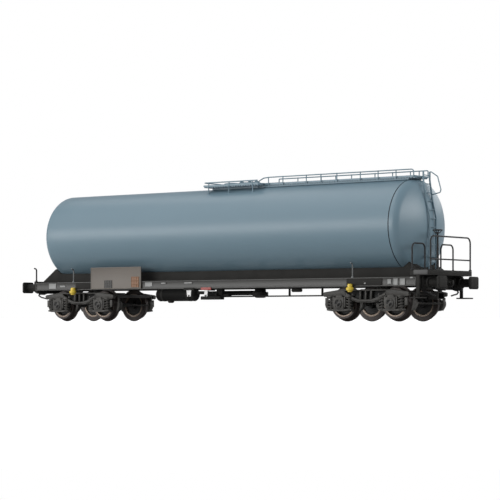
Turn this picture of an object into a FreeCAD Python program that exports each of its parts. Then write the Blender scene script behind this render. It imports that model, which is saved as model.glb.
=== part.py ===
"""Model railway tank wagon, scale 1:87, on two four-wheel bogies.

X runs along the wagon with the brakeman's platform at +X, Y across it, Z up.
The origin is under the middle of the wagon, on the surface that its wheel flanges stand on.
"""
import FreeCAD, Part
import math
import os
import re
import Sketcher

VECTOR = FreeCAD.Vector
doc = FreeCAD.newDocument("TankWagon")
sheet = doc.addObject("Spreadsheet::Sheet", "Sizes")

# alias, millimetres, what it measures; heights are above the surface under the flanges
SIZES = (
    ("buffer_reach", 93.8, "middle of the wagon to a buffer's face"),
    ("buffer_side", 10.06, "middle of the wagon to a buffer's axis"),
    ("buffer_height", 12.9, "buffer axis, height"),
    ("beam_face", 86.9, "middle of the wagon to a buffer beam's outer face"),
    ("beam_thick", 1.2, "buffer beam, thickness"),
    ("beam_half", 13.4, "buffer beam, half its width"),
    ("beam_foot", 10.6, "buffer beam, underside"),
    ("beam_top", 15.2, "buffer beam, top"),
    ("pivot", 64.8, "middle of the wagon to a bogie pivot"),
    ("sill_foot", 11.7, "side sill, underside"),
    ("sill_top", 14.7, "side sill, top"),
    ("sill_face", 13.8, "middle of the wagon to a side sill's outer face"),
    ("sill_deep", 0.9, "side sill, width of its flanges"),
    ("centre_foot", 12.6, "centre sill, underside, clear of the wheels"),
    ("member_deep", 2.0, "cross members, depth"),
    ("sheet_thick", 0.4, "thickness of flanges and webs"),
    ("tank_radius", 15.75, "tank barrel, radius"),
    ("tank_axis", 31.96, "tank axis, height"),
    ("seam", 76.6, "middle of the tank to the seam of a dished end"),
    ("knuckle", 3.2, "dished end, knuckle radius"),
    ("knuckle_turn", 60.5, "dished end, degrees through which the knuckle turns"),
    ("crown", 28.69, "dished end, crown radius"),
    ("cradle_half", 8.2, "tank cradle, half its width over the webs"),
    ("web_thick", 0.7, "tank cradle, thickness of its plates"),
    ("saddle_x", 80.4, "middle of the wagon to an end saddle"),
    ("saddle_top", 20.0, "end saddle, top"),
    ("web_top", 18.1, "tank cradle, top of its webs under the barrel"),
    ("deck_inner", 83.0, "platform deck, inner edge"),
    ("deck_outer", 90.9, "platform deck, outer edge"),
    ("deck_half", 13.1, "platform deck, half its width"),
    ("deck_top", 17.0, "platform deck, top"),
    ("rail_bar", 0.55, "thickness of the handrails"),
    ("end_rail_top", 28.3, "platform end rail, top"),
    ("end_rail_half", 12.8, "platform end rail, half its width"),
    ("end_rail_middle", 20.5, "platform end rail, height of its middle bar"),
    ("hoop_top", 26.1, "platform side hoops, top"),
    ("step_x", 86.5, "middle of the wagon to the platform steps"),
    ("step_foot", 7.6, "platform steps, underside of the tread"),
    ("brake_x", 87.5, "middle of the wagon to the handbrake column"),
    ("brake_y", -3.2, "handbrake column, place across the wagon"),
    ("ladder_x", 83.6, "middle of the wagon to the foot of the end ladder"),
    ("ladder_lean", 81.2, "middle of the wagon to the head of the end ladder"),
    ("ladder_half", 2.0, "end ladder, half its width"),
    ("ladder_top", 50.2, "end ladder, top of its stiles"),
    ("walk_start", 16.4, "roof walkway, end beside the valves"),
    ("walk_end", 79.2, "roof walkway, end over the platform"),
    ("walk_half", 4.2, "roof walkway, half its width"),
    ("walk_foot", 48.2, "roof walkway, underside"),
    ("walk_thick", 0.6, "walkway and valve platform, thickness"),
    ("walk_rail", 51.0, "roof walkway, top of its rails"),
    ("valve_start", -8.2, "valve platform, end away from the walkway"),
    ("valve_half", 8.0, "valve platform, half its width"),
    ("valve_foot", 48.3, "valve platform, underside"),
    ("valve_rail", 50.0, "valve platform, top of its edge rail"),
    ("wheelbase", 20.7, "bogie wheelbase"),
    ("tread_radius", 5.3, "wheel, tread radius"),
    ("flange_radius", 6.1, "wheel, flange radius, and the height of the axles"),
    ("wheel_back", 7.18, "middle of the axle to a wheel's back"),
    ("wheel_face", 9.95, "middle of the axle to a wheel's outer face"),
    ("axle_end", 10.9, "middle of the axle to its end"),
    ("bogie_half", 17.2, "bogie, pivot to the tip of a side frame"),
    ("frame_side", 10.7, "bogie, middle to the back of a side frame"),
    ("frame_thick", 1.6, "bogie side frame, thickness over its flanges"),
    ("frame_top", 10.7, "bogie side frame, top"),
    ("belly", 6.4, "bogie side frame, underside at the middle"),
    ("box_face", 13.0, "bogie, middle to the face of an axlebox"),
    ("block_gap", 0.4, "gap between a wheel flange and a brake block"),
)
for row, (alias, length, note) in enumerate(SIZES, 1):
    sheet.set(f"A{row}", note)
    sheet.set(f"B{row}", str(length))
    sheet.setAlias(f"B{row}", alias)
doc.recompute()
ALIASES = {alias for alias, length, note in SIZES}

ALONG = {
    "X": FreeCAD.Rotation(VECTOR(0, 1, 0), 90),
    "Y": FreeCAD.Rotation(VECTOR(1, 0, 0), -90),
    "Z": FreeCAD.Rotation(),
}
ABOUT_FACE = FreeCAD.Rotation(VECTOR(0, 0, 1), 180)
ENDS = (("left", "-", ABOUT_FACE), ("right", "", None))
SIDES = (("near", "-"), ("far", ""))


def formula(text):
    """An expression in which each size is read from the sheet."""
    return re.sub(r"[a-z_]+", lambda m: f"Sizes.{m[0]}" if m[0] in ALIASES else m[0], str(text))


def number(text):
    """What an expression on the sheet's sizes comes to."""
    return float(sheet.evalExpression(formula(text)))


def place(thing, x, y, z, turn=None):
    if turn:
        thing.Placement = FreeCAD.Placement(VECTOR(), turn)
    for axis, text in zip("xyz", (x, y, z)):
        thing.setExpression(f"Placement.Base.{axis}", formula(text))
    return thing


def block(name, length, width, height, x, y, z):
    """A plate or bar: centred on x and y, standing on z."""
    thing = doc.addObject("Part::Box", name)
    for side, text in (("Length", length), ("Width", width), ("Height", height)):
        thing.setExpression(side, formula(text))
    return place(thing, f"({x}) - ({length})/2", f"({y}) - ({width})/2", z)


def rod(name, radius, length, x, y, z, along="Z"):
    """A round bar that starts at x, y, z."""
    thing = doc.addObject("Part::Cylinder", name)
    thing.setExpression("Radius", formula(radius))
    thing.setExpression("Height", formula(length))
    return place(thing, x, y, z, ALONG[along])


def facet_rod(name, sides, radius, length, x, y, z, along="Z"):
    """A thin bar of regular polygon section that starts at x, y, z."""
    thing = doc.addObject("Part::Prism", name)
    thing.Polygon = sides
    thing.setExpression("Circumradius", formula(radius))
    thing.setExpression("Height", formula(length))
    return place(thing, x, y, z, ALONG[along])


def joined(name, *pieces):
    thing = doc.addObject("Part::MultiFuse", name)
    thing.Shapes = list(pieces)
    thing.Refine = True
    return thing


def grouped(name, *pieces):
    """Like pieces that don't touch, as one sub-part."""
    thing = doc.addObject("Part::Compound", name)
    thing.Links = list(pieces)
    return thing


def carved(name, base, tool):
    thing = doc.addObject("Part::Cut", name)
    thing.Base = base
    thing.Tool = tool
    return thing


def mirrored(name, source, x=0, y=0):
    """A mirror image across the plane whose normal is given."""
    thing = doc.addObject("Part::Mirroring", name)
    thing.Source = source
    thing.Normal = VECTOR(x, y, 0)
    return thing


def both_sides(name, source):
    """A piece and its mirror image across the wagon."""
    return grouped(name, source, mirrored(name + "_far_side", source, y=1))


def copied(name, source, x, y, z, turn=None):
    return place(grouped(name, source), x, y, z, turn)


def origin_plane(body, plane):
    return next(item for item in body.Origin.OriginFeatures if item.Role == plane + "_Plane")


def new_sketch(body, name, plane):
    sketch = body.newObject("Sketcher::SketchObject", name)
    sketch.AttachmentSupport = (origin_plane(body, plane), "")
    sketch.MapMode = "FlatFace"
    return sketch


def drawn(body, name, plane, corners):
    """A closed sketch of straight lines whose corners are tied to the sheet."""
    sketch = new_sketch(body, name, plane)
    spots = [VECTOR(number(x), number(y), 0) for x, y in corners]
    count = len(spots)
    for here in range(count):
        sketch.addGeometry(Part.LineSegment(spots[here], spots[(here + 1) % count]), False)
    for here in range(count):
        sketch.addConstraint(Sketcher.Constraint("Coincident", here, 2, (here + 1) % count, 1))
    for here, (x, y) in enumerate(corners):
        for kind, text in (("DistanceX", x), ("DistanceY", y)):
            index = sketch.addConstraint(Sketcher.Constraint(kind, -1, 1, here, 1, number(text)))
            tie = f"{kind[-1].lower()}_{here}"
            sketch.renameConstraint(index, tie)
            sketch.setExpression(f"Constraints.{tie}", formula(text))
    return sketch


def padded(body, sketch, length):
    pad = body.newObject("PartDesign::Pad", sketch.Name + "_pad")
    pad.Profile = sketch
    pad.Midplane = True
    pad.setExpression("Length", formula(length))
    return pad


def turned(body, sketch, axis):
    """A full revolution about one of the sketch's own axes."""
    turning = body.newObject("PartDesign::Revolution", sketch.Name + "_turned")
    turning.Profile = sketch
    turning.ReferenceAxis = (sketch, [axis])
    turning.Angle = 360
    return turning


def reflected(body, feature, plane):
    mirror = body.newObject("PartDesign::Mirrored", feature.Name + "_mirror")
    mirror.Originals = [feature]
    mirror.MirrorPlane = (origin_plane(body, plane), "")
    body.Tip = mirror
    return mirror


def bar(name, plane, corners, length):
    """A body padded both ways from one of its origin planes."""
    body = doc.addObject("PartDesign::Body", name)
    padded(body, drawn(body, name + "_outline", plane, corners), length)
    return body


def ribbon(run, width):
    """The closed outline of a strip of even width along a run of straight stretches."""
    spots = [VECTOR(number(x), number(y), 0) for x, y in run]
    left, right = [], []
    for here, (x, y) in enumerate(run):
        ways = []
        if here > 0:
            ways.append((spots[here] - spots[here - 1]).normalize())
        if here < len(run) - 1:
            ways.append((spots[here + 1] - spots[here]).normalize())
        across = [VECTOR(-way.y, way.x, 0) for way in ways]
        middle = (across[0] + across[-1]).normalize()
        reach = number(width) / 2 / middle.dot(across[0])
        for side, sign in ((left, 1), (right, -1)):
            shift = middle * (sign * reach)
            side.append((f"{x} + ({shift.x:.4f})", f"{y} + ({shift.y:.4f})"))
    return left + right[::-1]


def rounded(before, corner, after, bend):
    """Three points that round a right-angled corner of a run; each is (x, y)."""
    def step(one, other):
        gap = number(other) - number(one)
        return 0 if abs(gap) < 1e-6 else math.copysign(bend, gap)
    in_x, in_y = (step(corner[i], before[i]) for i in (0, 1))
    out_x, out_y = (step(corner[i], after[i]) for i in (0, 1))
    x, y = corner
    return [
        (f"{x} + ({in_x})", f"{y} + ({in_y})"),
        (f"{x} + ({0.3 * (in_x + out_x)})", f"{y} + ({0.3 * (in_y + out_y)})"),
        (f"{x} + ({out_x})", f"{y} + ({out_y})"),
    ]


def hoop(left, right, foot, top, bend):
    """A run up one side, over the top and down the other, with rounded shoulders."""
    corners = ((left, foot), (left, top), (right, top), (right, foot))
    return [
        corners[0],
        *rounded(corners[0], corners[1], corners[2], bend),
        *rounded(corners[1], corners[2], corners[3], bend),
        corners[3],
    ]


nodes = []


def finished(thing, label):
    """Name a sub-part, and with it the file it is written to."""
    thing.Label = label
    nodes.append(thing)
    return thing


# ---- Tank: a barrel with two dished ends ----

TANK = [("0", "0"), ("0", "tank_radius"), ("seam", "tank_radius")]  # x, radius of one half
KNUCKLE_STEPS = ("1/2", "1")  # shares of the knuckle's turn, in short cones
for share in KNUCKLE_STEPS:
    angle = f"{share} * knuckle_turn"
    TANK.append((f"seam + knuckle * sin({angle})", f"tank_radius - knuckle * (1 - cos({angle}))"))
CROWN_STEPS = ("2/3", "1/3", "0")  # shares of the crown's half angle, down to the axis
for share in CROWN_STEPS:
    angle = f"{share} * (90 - knuckle_turn)"
    bulge = f"crown * (cos({angle}) - sin(knuckle_turn))"
    TANK.append((f"seam + knuckle * sin(knuckle_turn) + {bulge}", f"crown * sin({angle})"))
tank = doc.addObject("PartDesign::Body", "tank")
reflected(tank, turned(tank, drawn(tank, "tank_outline", "XZ", TANK), "H_Axis"), "YZ")
place(tank, 0, 0, "tank_axis")
finished(tank, "tank")

# ---- Underframe: channel side sills, centre sill, cross members and bolsters ----

SILL_SECTION = (  # y, z of the channel, open outwards
    ("sill_deep - sill_face", "sill_foot"),
    ("-sill_face", "sill_foot"),
    ("-sill_face", "sill_foot + sheet_thick"),
    ("0.3 - sill_face", "sill_foot + sheet_thick"),
    ("0.3 - sill_face", "sill_top - sheet_thick"),
    ("-sill_face", "sill_top - sheet_thick"),
    ("-sill_face", "sill_top"),
    ("sill_deep - sill_face", "sill_top"),
)
near_sill = bar("near_sill", "YZ", SILL_SECTION, "2 * (beam_face - beam_thick)")
finished(near_sill, "side_sill_near")
finished(mirrored("far_sill", near_sill, y=1), "side_sill_far")

CENTRE_SECTION = (  # y, z of the centre sill, an upturned trough
    ("-2.8", "centre_foot"),
    ("-1.9", "centre_foot"),
    ("-1.9", "sill_top - sheet_thick"),
    ("1.9", "sill_top - sheet_thick"),
    ("1.9", "centre_foot"),
    ("2.8", "centre_foot"),
    ("2.8", "sill_top"),
    ("-2.8", "sill_top"),
)
OUTLET_X = 11.6
sill_trough = bar("sill_trough", "YZ", CENTRE_SECTION, "2 * (beam_face - beam_thick)")
outlet_space = block("outlet_space", 4.6, 4.6, 4.0, OUTLET_X, 0, "sill_foot")
finished(carved("centre_sill", sill_trough, outlet_space), "centre_sill")

MEMBER_SPACING = 16.0
MEMBERS = [(f"{place_no * MEMBER_SPACING}", 0.9, "member_deep") for place_no in range(-3, 4)]
MEMBERS += [("-pivot", 5.0, "member_deep + 0.5"), ("pivot", 5.0, "member_deep + 0.5")]
MEMBER_REACH = "sill_face - sill_deep - 2.8"
near_members = [
    block(f"member_{member_no}", length, MEMBER_REACH, depth, x,
          f"-2.8 - ({MEMBER_REACH})/2", f"sill_top - ({depth})")
    for member_no, (x, length, depth) in enumerate(MEMBERS, 1)
]
finished(both_sides("cross_members", grouped("near_members", *near_members)), "cross_members")
PIN_LENGTH = 4.8
pivot_pins = [
    joined(
        f"pivot_{end}",
        facet_rod(f"pin_{end}", 12, 1.5, PIN_LENGTH, f"{sign}pivot", 0, f"sill_top - sheet_thick - {PIN_LENGTH}"),
        facet_rod(f"pad_{end}", 12, 2.8, "centre_foot - sill_foot", f"{sign}pivot", 0, "sill_foot"),
    )
    for end, sign, turn in ENDS
]
finished(grouped("pin_pair", *pivot_pins), "pivot_pins")

BEAM_SECTION = (  # y, z of a buffer beam's plate
    ("-beam_half", "beam_foot + 1.4"),
    ("1.4 - beam_half", "beam_foot"),
    ("beam_half - 1.4", "beam_foot"),
    ("beam_half", "beam_foot + 1.4"),
    ("beam_half", "beam_top"),
    ("-beam_half", "beam_top"),
)
beam = bar("beam", "YZ", BEAM_SECTION, "beam_thick")
beams = [
    copied(f"beam_{end}", beam, f"{sign}(beam_face - beam_thick/2)", 0, 0)
    for end, sign, turn in ENDS
]
finished(grouped("beam_pair", *beams), "buffer_beams")

# ---- Cradle: two long webs with sloping ends, cross saddles and end saddles ----

WEB = (  # x, z of a web: flat under the barrel, up to the end saddles, down to the ends
    ("beam_thick - beam_face", "sill_top"),
    ("beam_thick - beam_face", "beam_top"),
    ("-beam_face", "beam_top"),
    ("-beam_face", "beam_top + 0.2"),
    ("-saddle_x", "saddle_top"),
    ("0.6 - saddle_x", "saddle_top"),
    ("2.3 - saddle_x", "web_top"),
    ("saddle_x - 2.3", "web_top"),
    ("saddle_x - 0.6", "saddle_top"),
    ("saddle_x", "saddle_top"),
    ("deck_inner", "deck_top + 0.4"),
    ("deck_inner", "sill_top"),
)
web = bar("web", "XZ", WEB, "web_thick")
near_web = copied("near_web", web, 0, "web_thick/2 - cradle_half", 0)
finished(both_sides("webs", near_web), "cradle_webs")

SADDLE_SPACING = 18.0
SADDLE_HALF = "(cradle_half - web_thick)"
TANK_FOOT = "(tank_axis - tank_radius)"
SADDLE_BEND = "(tank_radius * tan(10))"
SADDLE = (  # y, z of a saddle, bent to bear on the barrel along three lines
    (f"-{SADDLE_HALF}", "sill_top"),
    (f"-{SADDLE_HALF}", f"{TANK_FOOT} + ({SADDLE_HALF} - {SADDLE_BEND}) * tan(20)"),
    (f"-{SADDLE_BEND}", TANK_FOOT),
    (SADDLE_BEND, TANK_FOOT),
    (SADDLE_HALF, f"{TANK_FOOT} + ({SADDLE_HALF} - {SADDLE_BEND}) * tan(20)"),
    (SADDLE_HALF, "sill_top"),
)
END_SADDLE = (  # y, z of the plate under a dished end, its top hollowed to fit it
    (f"-{SADDLE_HALF}", "sill_top"),
    (f"-{SADDLE_HALF}", "saddle_top"),
    ("-5.2", "saddle_top"),
    ("-4.0", "saddle_top - 0.4"),
    ("-1.5", "saddle_top - 1.0"),
    ("1.5", "saddle_top - 1.0"),
    ("4.0", "saddle_top - 0.4"),
    ("5.2", "saddle_top"),
    (SADDLE_HALF, "saddle_top"),
    (SADDLE_HALF, "sill_top"),
)
saddle = bar("saddle", "YZ", SADDLE, 1.0)
end_saddle = bar("end_saddle", "YZ", END_SADDLE, "web_thick")
saddles = [
    copied(f"saddle_{place_no + 4}", saddle, place_no * SADDLE_SPACING, 0, 0)
    for place_no in range(-3, 4)
]
saddles += [
    copied(f"end_saddle_{end}", end_saddle, f"{sign}saddle_x", 0, 0)
    for end, sign, turn in ENDS
]
finished(grouped("saddles", *saddles), "cradle_saddles")

# ---- Buffers: round sleeves and plungers with rectangular heads ----

HEAD = (  # y, z of a head with its corners cut
    ("-2.7", "-1.5"),
    ("-2.2", "-1.95"),
    ("2.2", "-1.95"),
    ("2.7", "-1.5"),
    ("2.7", "1.5"),
    ("2.2", "1.95"),
    ("-2.2", "1.95"),
    ("-2.7", "1.5"),
)
BUFFER_LONG = "(buffer_reach - beam_face)"
buffer = joined(
    "buffer",
    block("buffer_foot", 0.5, 4.4, 4.2, 0.25, 0, -2.1),
    facet_rod("buffer_sleeve", 12, 1.95, 2.2, 0, 0, 0, "X"),
    facet_rod("buffer_plunger", 8, 1.45, BUFFER_LONG, 0, 0, 0, "X"),
    place(bar("buffer_head", "YZ", HEAD, 0.7), f"{BUFFER_LONG} - 0.35", 0, 0),
)
for end, sign, turn in ENDS:
    pair = [
        copied(f"buffer_{end}_{side}", buffer, f"{sign}beam_face", f"{across}buffer_side",
               "buffer_height", turn)
        for side, across in SIDES
    ]
    finished(grouped(f"buffer_pair_{end}", *pair), f"buffers_{end}")

# ---- Draw hooks, coupling pockets and brake hoses ----

HOOK = (  # x from the beam, z from the hook's middle
    ("0", "-0.6"),
    ("2.4", "-0.6"),
    ("3.0", "-1.5"),
    ("4.2", "-1.5"),
    ("4.8", "-0.6"),
    ("4.8", "0.9"),
    ("4.1", "0.9"),
    ("3.9", "-0.2"),
    ("3.3", "-0.2"),
    ("2.6", "0.7"),
    ("0", "0.7"),
)
hook = bar("hook", "XZ", HOOK, 0.9)
hook_plate = block("hook_plate", 0.5, 3.0, 2.6, 0.25, 0, -1.3)
draw_hook = joined("draw_hook", hook, hook_plate)
hooks = [
    copied(f"draw_hook_{end}", draw_hook, f"{sign}beam_face", 0, "buffer_height", turn)
    for end, sign, turn in ENDS
]
finished(grouped("hook_pair", *hooks), "draw_hooks")

POCKET_LENGTH = 3.6
POCKET_DROP = 0.8
pocket_shell = block("pocket_shell", POCKET_LENGTH, 4.4, 2.4, 0, 0, f"beam_foot - {POCKET_DROP} - 2.4")
pocket_neck = block("pocket_neck", 0.8, 1.4, POCKET_DROP + 0.3, f"{POCKET_LENGTH}/2 - 0.4", 0,
                    f"beam_foot - {POCKET_DROP} - 0.3")
pocket_slot = block("pocket_slot", POCKET_LENGTH, 3.2, 1.7, 0.6, 0, f"beam_foot - {POCKET_DROP} - 2.05")
pocket = carved("pocket", joined("pocket_solid", pocket_shell, pocket_neck), pocket_slot)
pockets = [
    copied(f"pocket_{end}", pocket, f"{sign}(beam_face - {POCKET_LENGTH}/2)", 0, 0, turn)
    for end, sign, turn in ENDS
]
finished(grouped("pocket_pair", *pockets), "coupling_pockets")


def hose_shape(radius, sides, run):
    """A thin hose of regular polygon section along a run of short straight stretches."""
    spots = [VECTOR(*spot) for spot in run]
    path = Part.makePolygon(spots)
    heading = (spots[1] - spots[0]).normalize()
    turn = FreeCAD.Rotation(VECTOR(0, 0, 1), heading)
    corners = []
    for side_no in range(sides + 1):
        angle = 2 * math.pi * side_no / sides
        corners.append(VECTOR(radius * math.cos(angle), radius * math.sin(angle), 0))
    section = Part.makePolygon([spots[0] + turn.multVec(corner) for corner in corners])
    return path.makePipeShell([section], True, False, 1)


HOSE_SIDES = 4
HOSE_RUN = (  # x, y, z from the beam's outer face: a hose that leaves it and sticks out
    (0, -5.4, 0), (0.4, -5.4, 0), (1.1, -5.4, -0.7), (2.2, -5.4, -1.0), (5.0, -5.4, -0.9),
)
CABLE_RUN = (  # x, y, z: a thinner one from under the beam, in towards the coupling
    (-0.4, -11.0, -0.9), (-0.4, -11.0, -1.2), (0.4, -10.4, -1.6), (1.0, -8.4, -2.3), (0.9, -5.0, -2.9),
)
hose = doc.addObject("Part::Feature", "hose")
hose.Shape = hose_shape(0.4, HOSE_SIDES, HOSE_RUN)
cable = doc.addObject("Part::Feature", "cable")
cable.Shape = hose_shape(0.3, HOSE_SIDES, CABLE_RUN)
end_hoses = both_sides("end_hoses", grouped("near_hoses", hose, cable))
hoses = [
    copied(f"hoses_{end}", end_hoses, f"{sign}beam_face", 0, "beam_foot + 0.9", turn)
    for end, sign, turn in ENDS
]
finished(grouped("hose_set", *hoses), "brake_hoses")

# ---- Brakeman's platform: deck, end rail, side hoops, handbrake and steps ----

DECK_MIDDLE = "(deck_outer + deck_inner)/2"
DECK_LONG = "deck_outer - deck_inner"
deck_plate = block("deck_plate", DECK_LONG, "2 * deck_half", 0.6, DECK_MIDDLE, 0, "deck_top - 0.6")
deck_edges = [
    block(f"deck_edge_{name}", 0.5, "2 * deck_half", "deck_top - beam_top", x, 0, "beam_top")
    for name, x in (("inner", "deck_inner + 0.25"), ("outer", "deck_outer - 0.25"))
]
deck_sides = [
    block(f"deck_side_{side}", DECK_LONG, 0.5, "deck_top - beam_top", DECK_MIDDLE,
          f"{sign}(deck_half - 0.25)", "beam_top")
    for side, sign in SIDES
]
finished(joined("deck", deck_plate, *deck_edges, *deck_sides), "platform_deck")

RAIL_X = "deck_outer - 0.3"
end_hoop = bar("end_hoop", "YZ", ribbon(
    hoop("rail_bar/2 - end_rail_half", "end_rail_half - rail_bar/2", "deck_top",
         "end_rail_top - rail_bar/2", 1.9),
    "rail_bar"), "rail_bar")
place(end_hoop, RAIL_X, 0, 0)
end_middle = block("end_middle", "rail_bar", "2 * end_rail_half - rail_bar", "rail_bar",
                   RAIL_X, 0, "end_rail_middle - rail_bar/2")
finished(joined("end_rail", end_hoop, end_middle), "platform_end_rail")

side_hoop = bar("side_hoop", "YZ", ribbon(
    hoop("rail_bar/2 - deck_half", "-5.0", "deck_top", "hoop_top - rail_bar/2", 1.7),
    "rail_bar"), "rail_bar")
place(side_hoop, "deck_inner + 0.7", 0, 0)
finished(both_sides("side_hoops", side_hoop), "platform_side_hoops")

brake_column = facet_rod("brake_column", 8, 0.45, "29.6 - deck_top", "brake_x", "brake_y", "deck_top")
brake_foot = block("brake_foot", 1.8, 1.8, 0.7, "brake_x", "brake_y", "deck_top")
rim_blank = facet_rod("rim_blank", 8, 1.85, 0.5, "brake_x", "brake_y", 30.1)
rim_space = facet_rod("rim_space", 8, 1.4, 0.9, "brake_x", "brake_y", 29.9)
SPOKE_RUN = (("-1.6", "30.3"), ("-0.6", "29.5"), ("0.6", "29.5"), ("1.6", "30.3"))  # across, z
spokes = [
    place(bar(f"spoke_{plane}", plane, ribbon(SPOKE_RUN, 0.4), 0.5), "brake_x", "brake_y", 0)
    for plane in ("XZ", "YZ")
]
handwheel = joined("handwheel", carved("rim", rim_blank, rim_space), *spokes)
finished(joined("handbrake", brake_column, brake_foot, handwheel), "handbrake_stand")

step_hanger = block("step_hanger", 1.2, 0.5, "beam_top - step_foot", "step_x", "-beam_half - 0.25", "step_foot")
step_tread = block("step_tread", 4.4, 3.8, 0.5, "step_x + 0.6", "-sill_face - 1.0", "step_foot")
step = joined("step", step_hanger, step_tread)
finished(both_sides("step_pair", step), "platform_steps")

# ---- End ladder up the dished end, with a hand loop beside it ----

STILE = (  # x, z: up from the deck, in over the dished end and up past the roof
    ("ladder_x", "deck_top"),
    ("ladder_x", "tank_axis + 3.0"),
    ("ladder_lean + 1.0", "tank_axis + 8.8"),
    ("ladder_lean", "tank_axis + 15.5"),
    ("ladder_lean", "ladder_top"),
)
stile = bar("stile", "XZ", ribbon(STILE, 0.7), 0.45)
stiles = [copied(f"stile_{side}", stile, 0, f"{sign}ladder_half", 0) for side, sign in SIDES]
RUNG_SPACING = 2.9
rungs = [
    block(f"rung_{rung_no}", 0.45, "2 * ladder_half", 0.45, "ladder_x", 0, f"deck_top + {rung_no * RUNG_SPACING}")
    for rung_no in range(1, 6)
]
HIGH_RUNGS = (("1", 6), ("0.72", 7), ("0.36", 8), ("0.16", 9), ("0", 10))
rungs += [
    block(f"rung_{rung_no}", 0.45, "2 * ladder_half", 0.45,
          f"ladder_lean + {share} * (ladder_x - ladder_lean)", 0, f"deck_top + {rung_no * RUNG_SPACING}")
    for share, rung_no in HIGH_RUNGS
]
HAND_LOOP = (  # x, z of the loop on the far stile
    ("ladder_lean", "ladder_top - 0.25"),
    ("ladder_lean + 0.8", "ladder_top - 0.25"),
    ("ladder_lean + 3.2", "ladder_top - 1.9"),
    ("ladder_lean + 4.4", "ladder_top - 6.2"),
    ("ladder_lean + 4.0", "ladder_top - 7.1"),
    ("ladder_lean + 0.8", "ladder_top - 7.8"),
)
hand_loop = place(bar("hand_loop", "XZ", ribbon(HAND_LOOP, 0.4), 0.45), 0, "ladder_half", 0)
finished(joined("ladder", *stiles, *rungs, hand_loop), "end_ladder")

# ---- Roof: walkway, its rails, the valve platform, manhole and valves ----

WALK_LONG = "walk_end - walk_start"
walkway = block("walkway_plate", WALK_LONG, "2 * walk_half", "walk_thick",
                "(walk_start + walk_end)/2", 0, "walk_foot")
FOOT_Y = 3.2
FOOT_DROP = f"(walk_foot - tank_axis - sqrt(tank_radius^2 - {FOOT_Y}^2))"
bearers = [
    block(f"walk_bearer_{side}", "seam - walk_start", 0.7, FOOT_DROP, "(walk_start + seam)/2",
          f"{sign}({FOOT_Y} + 0.35)", f"walk_foot - {FOOT_DROP}")
    for side, sign in SIDES
]
finished(joined("walkway", walkway, *bearers), "roof_walkway")

RAIL_MIDDLE = "walk_rail - rail_bar/2"
WALK_RUN = (  # x, z of a rail: up from the valve platform, along the walkway and down
    ("walk_start - 2.3", "valve_foot + walk_thick"),
    ("walk_start - 2.3", "valve_foot + walk_thick + 0.6"),
    ("walk_start", "walk_rail - 0.6"),
    ("walk_start + 2.4", RAIL_MIDDLE),
    ("walk_end - 1.4", RAIL_MIDDLE),
    ("walk_end - 0.5", "walk_rail - rail_bar/2 - 0.5"),
    ("walk_end - 0.2", "walk_foot"),
)
RAIL_SIDE = "-walk_half - rail_bar/2"
near_rail = place(bar("near_rail", "XZ", ribbon(WALK_RUN, "rail_bar"), "rail_bar"), 0, RAIL_SIDE, 0)
POSTS = (18.6, 24.9, 35.0, 41.2, 47.9, 57.7, 64.8, 71.9)
near_posts = [
    block(f"walk_post_{post_no}", "rail_bar", "rail_bar", "walk_rail - walk_foot - rail_bar/2",
          x, RAIL_SIDE, "walk_foot")
    for post_no, x in enumerate(POSTS, 1)
]
walk_side = joined("walk_side", near_rail, *near_posts)
finished(both_sides("walk_sides", walk_side), "walkway_rails")

VALVE_MIDDLE = "(valve_start + walk_start)/2"
valve_deck = block("valve_deck", "walk_start - valve_start", "2 * valve_half - 1.2", "walk_thick",
                   VALVE_MIDDLE, 0, "valve_foot")
VALVE_POSTS = (-5.8, 3.4, 14.0)
POST_Y = 7.4
POST_FOOT = f"(tank_axis + sqrt(tank_radius^2 - {POST_Y}^2))"
valve_posts = [
    block(f"valve_post_{side}_{post_no}", 0.45, 0.5, f"valve_rail - {POST_FOOT}", x,
          f"{sign}({POST_Y} + 0.25)", POST_FOOT)
    for side, sign in SIDES
    for post_no, x in enumerate(VALVE_POSTS, 1)
]
valve_rails = [
    block(f"valve_rail_{side}", "walk_start - valve_start", 0.5, 0.5, VALVE_MIDDLE,
          f"{sign}(valve_half - 0.3)", "valve_rail - 0.5")
    for side, sign in SIDES
]
valve_end = block("valve_end", 0.5, "2 * valve_half - 0.1", 0.5, "valve_start + 0.25", 0, "valve_rail - 0.5")
valve_bearers = [
    block(f"valve_bearer_{side}", "walk_start + 2.0", 0.7, f"{FOOT_DROP} + valve_foot - walk_foot",
          "walk_start/2 - 1.0", f"{sign}({FOOT_Y} + 0.35)", f"walk_foot - {FOOT_DROP}")
    for side, sign in SIDES
]
stage_pieces = (valve_deck, valve_end, *valve_posts, *valve_rails, *valve_bearers)
finished(joined("valve_stage", *stage_pieces), "valve_platform")

DECK_TOP = "valve_foot + walk_thick"
MANHOLE_X = -1.0
manhole = joined(
    "manhole_neck_and_lid",
    facet_rod("manhole_neck", 12, 2.6, 1.0, MANHOLE_X, 0, DECK_TOP),
    facet_rod("manhole_lid", 12, 3.1, 0.6, MANHOLE_X, 0, f"{DECK_TOP} + 0.5"),
    block("manhole_hinge", 1.0, 2.2, 0.7, MANHOLE_X - 3.2, 0, DECK_TOP),
)
finished(manhole, "manhole")
VALVES = (  # x, y, radius, height above the valve platform
    (5.6, -3.0, 0.9, 1.3),
    (9.2, -3.0, 0.8, 1.4),
    (12.2, -3.0, 0.9, 1.2),
    (7.4, 2.6, 1.6, 1.1),
)
valve_bodies = [
    facet_rod(f"valve_body_{valve_no}", 8, radius, height, x, y, DECK_TOP)
    for valve_no, (x, y, radius, height) in enumerate(VALVES, 1)
]
finished(grouped("valve_set", *valve_bodies), "roof_valves")

# ---- Lettering board and sill fittings ----

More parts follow.
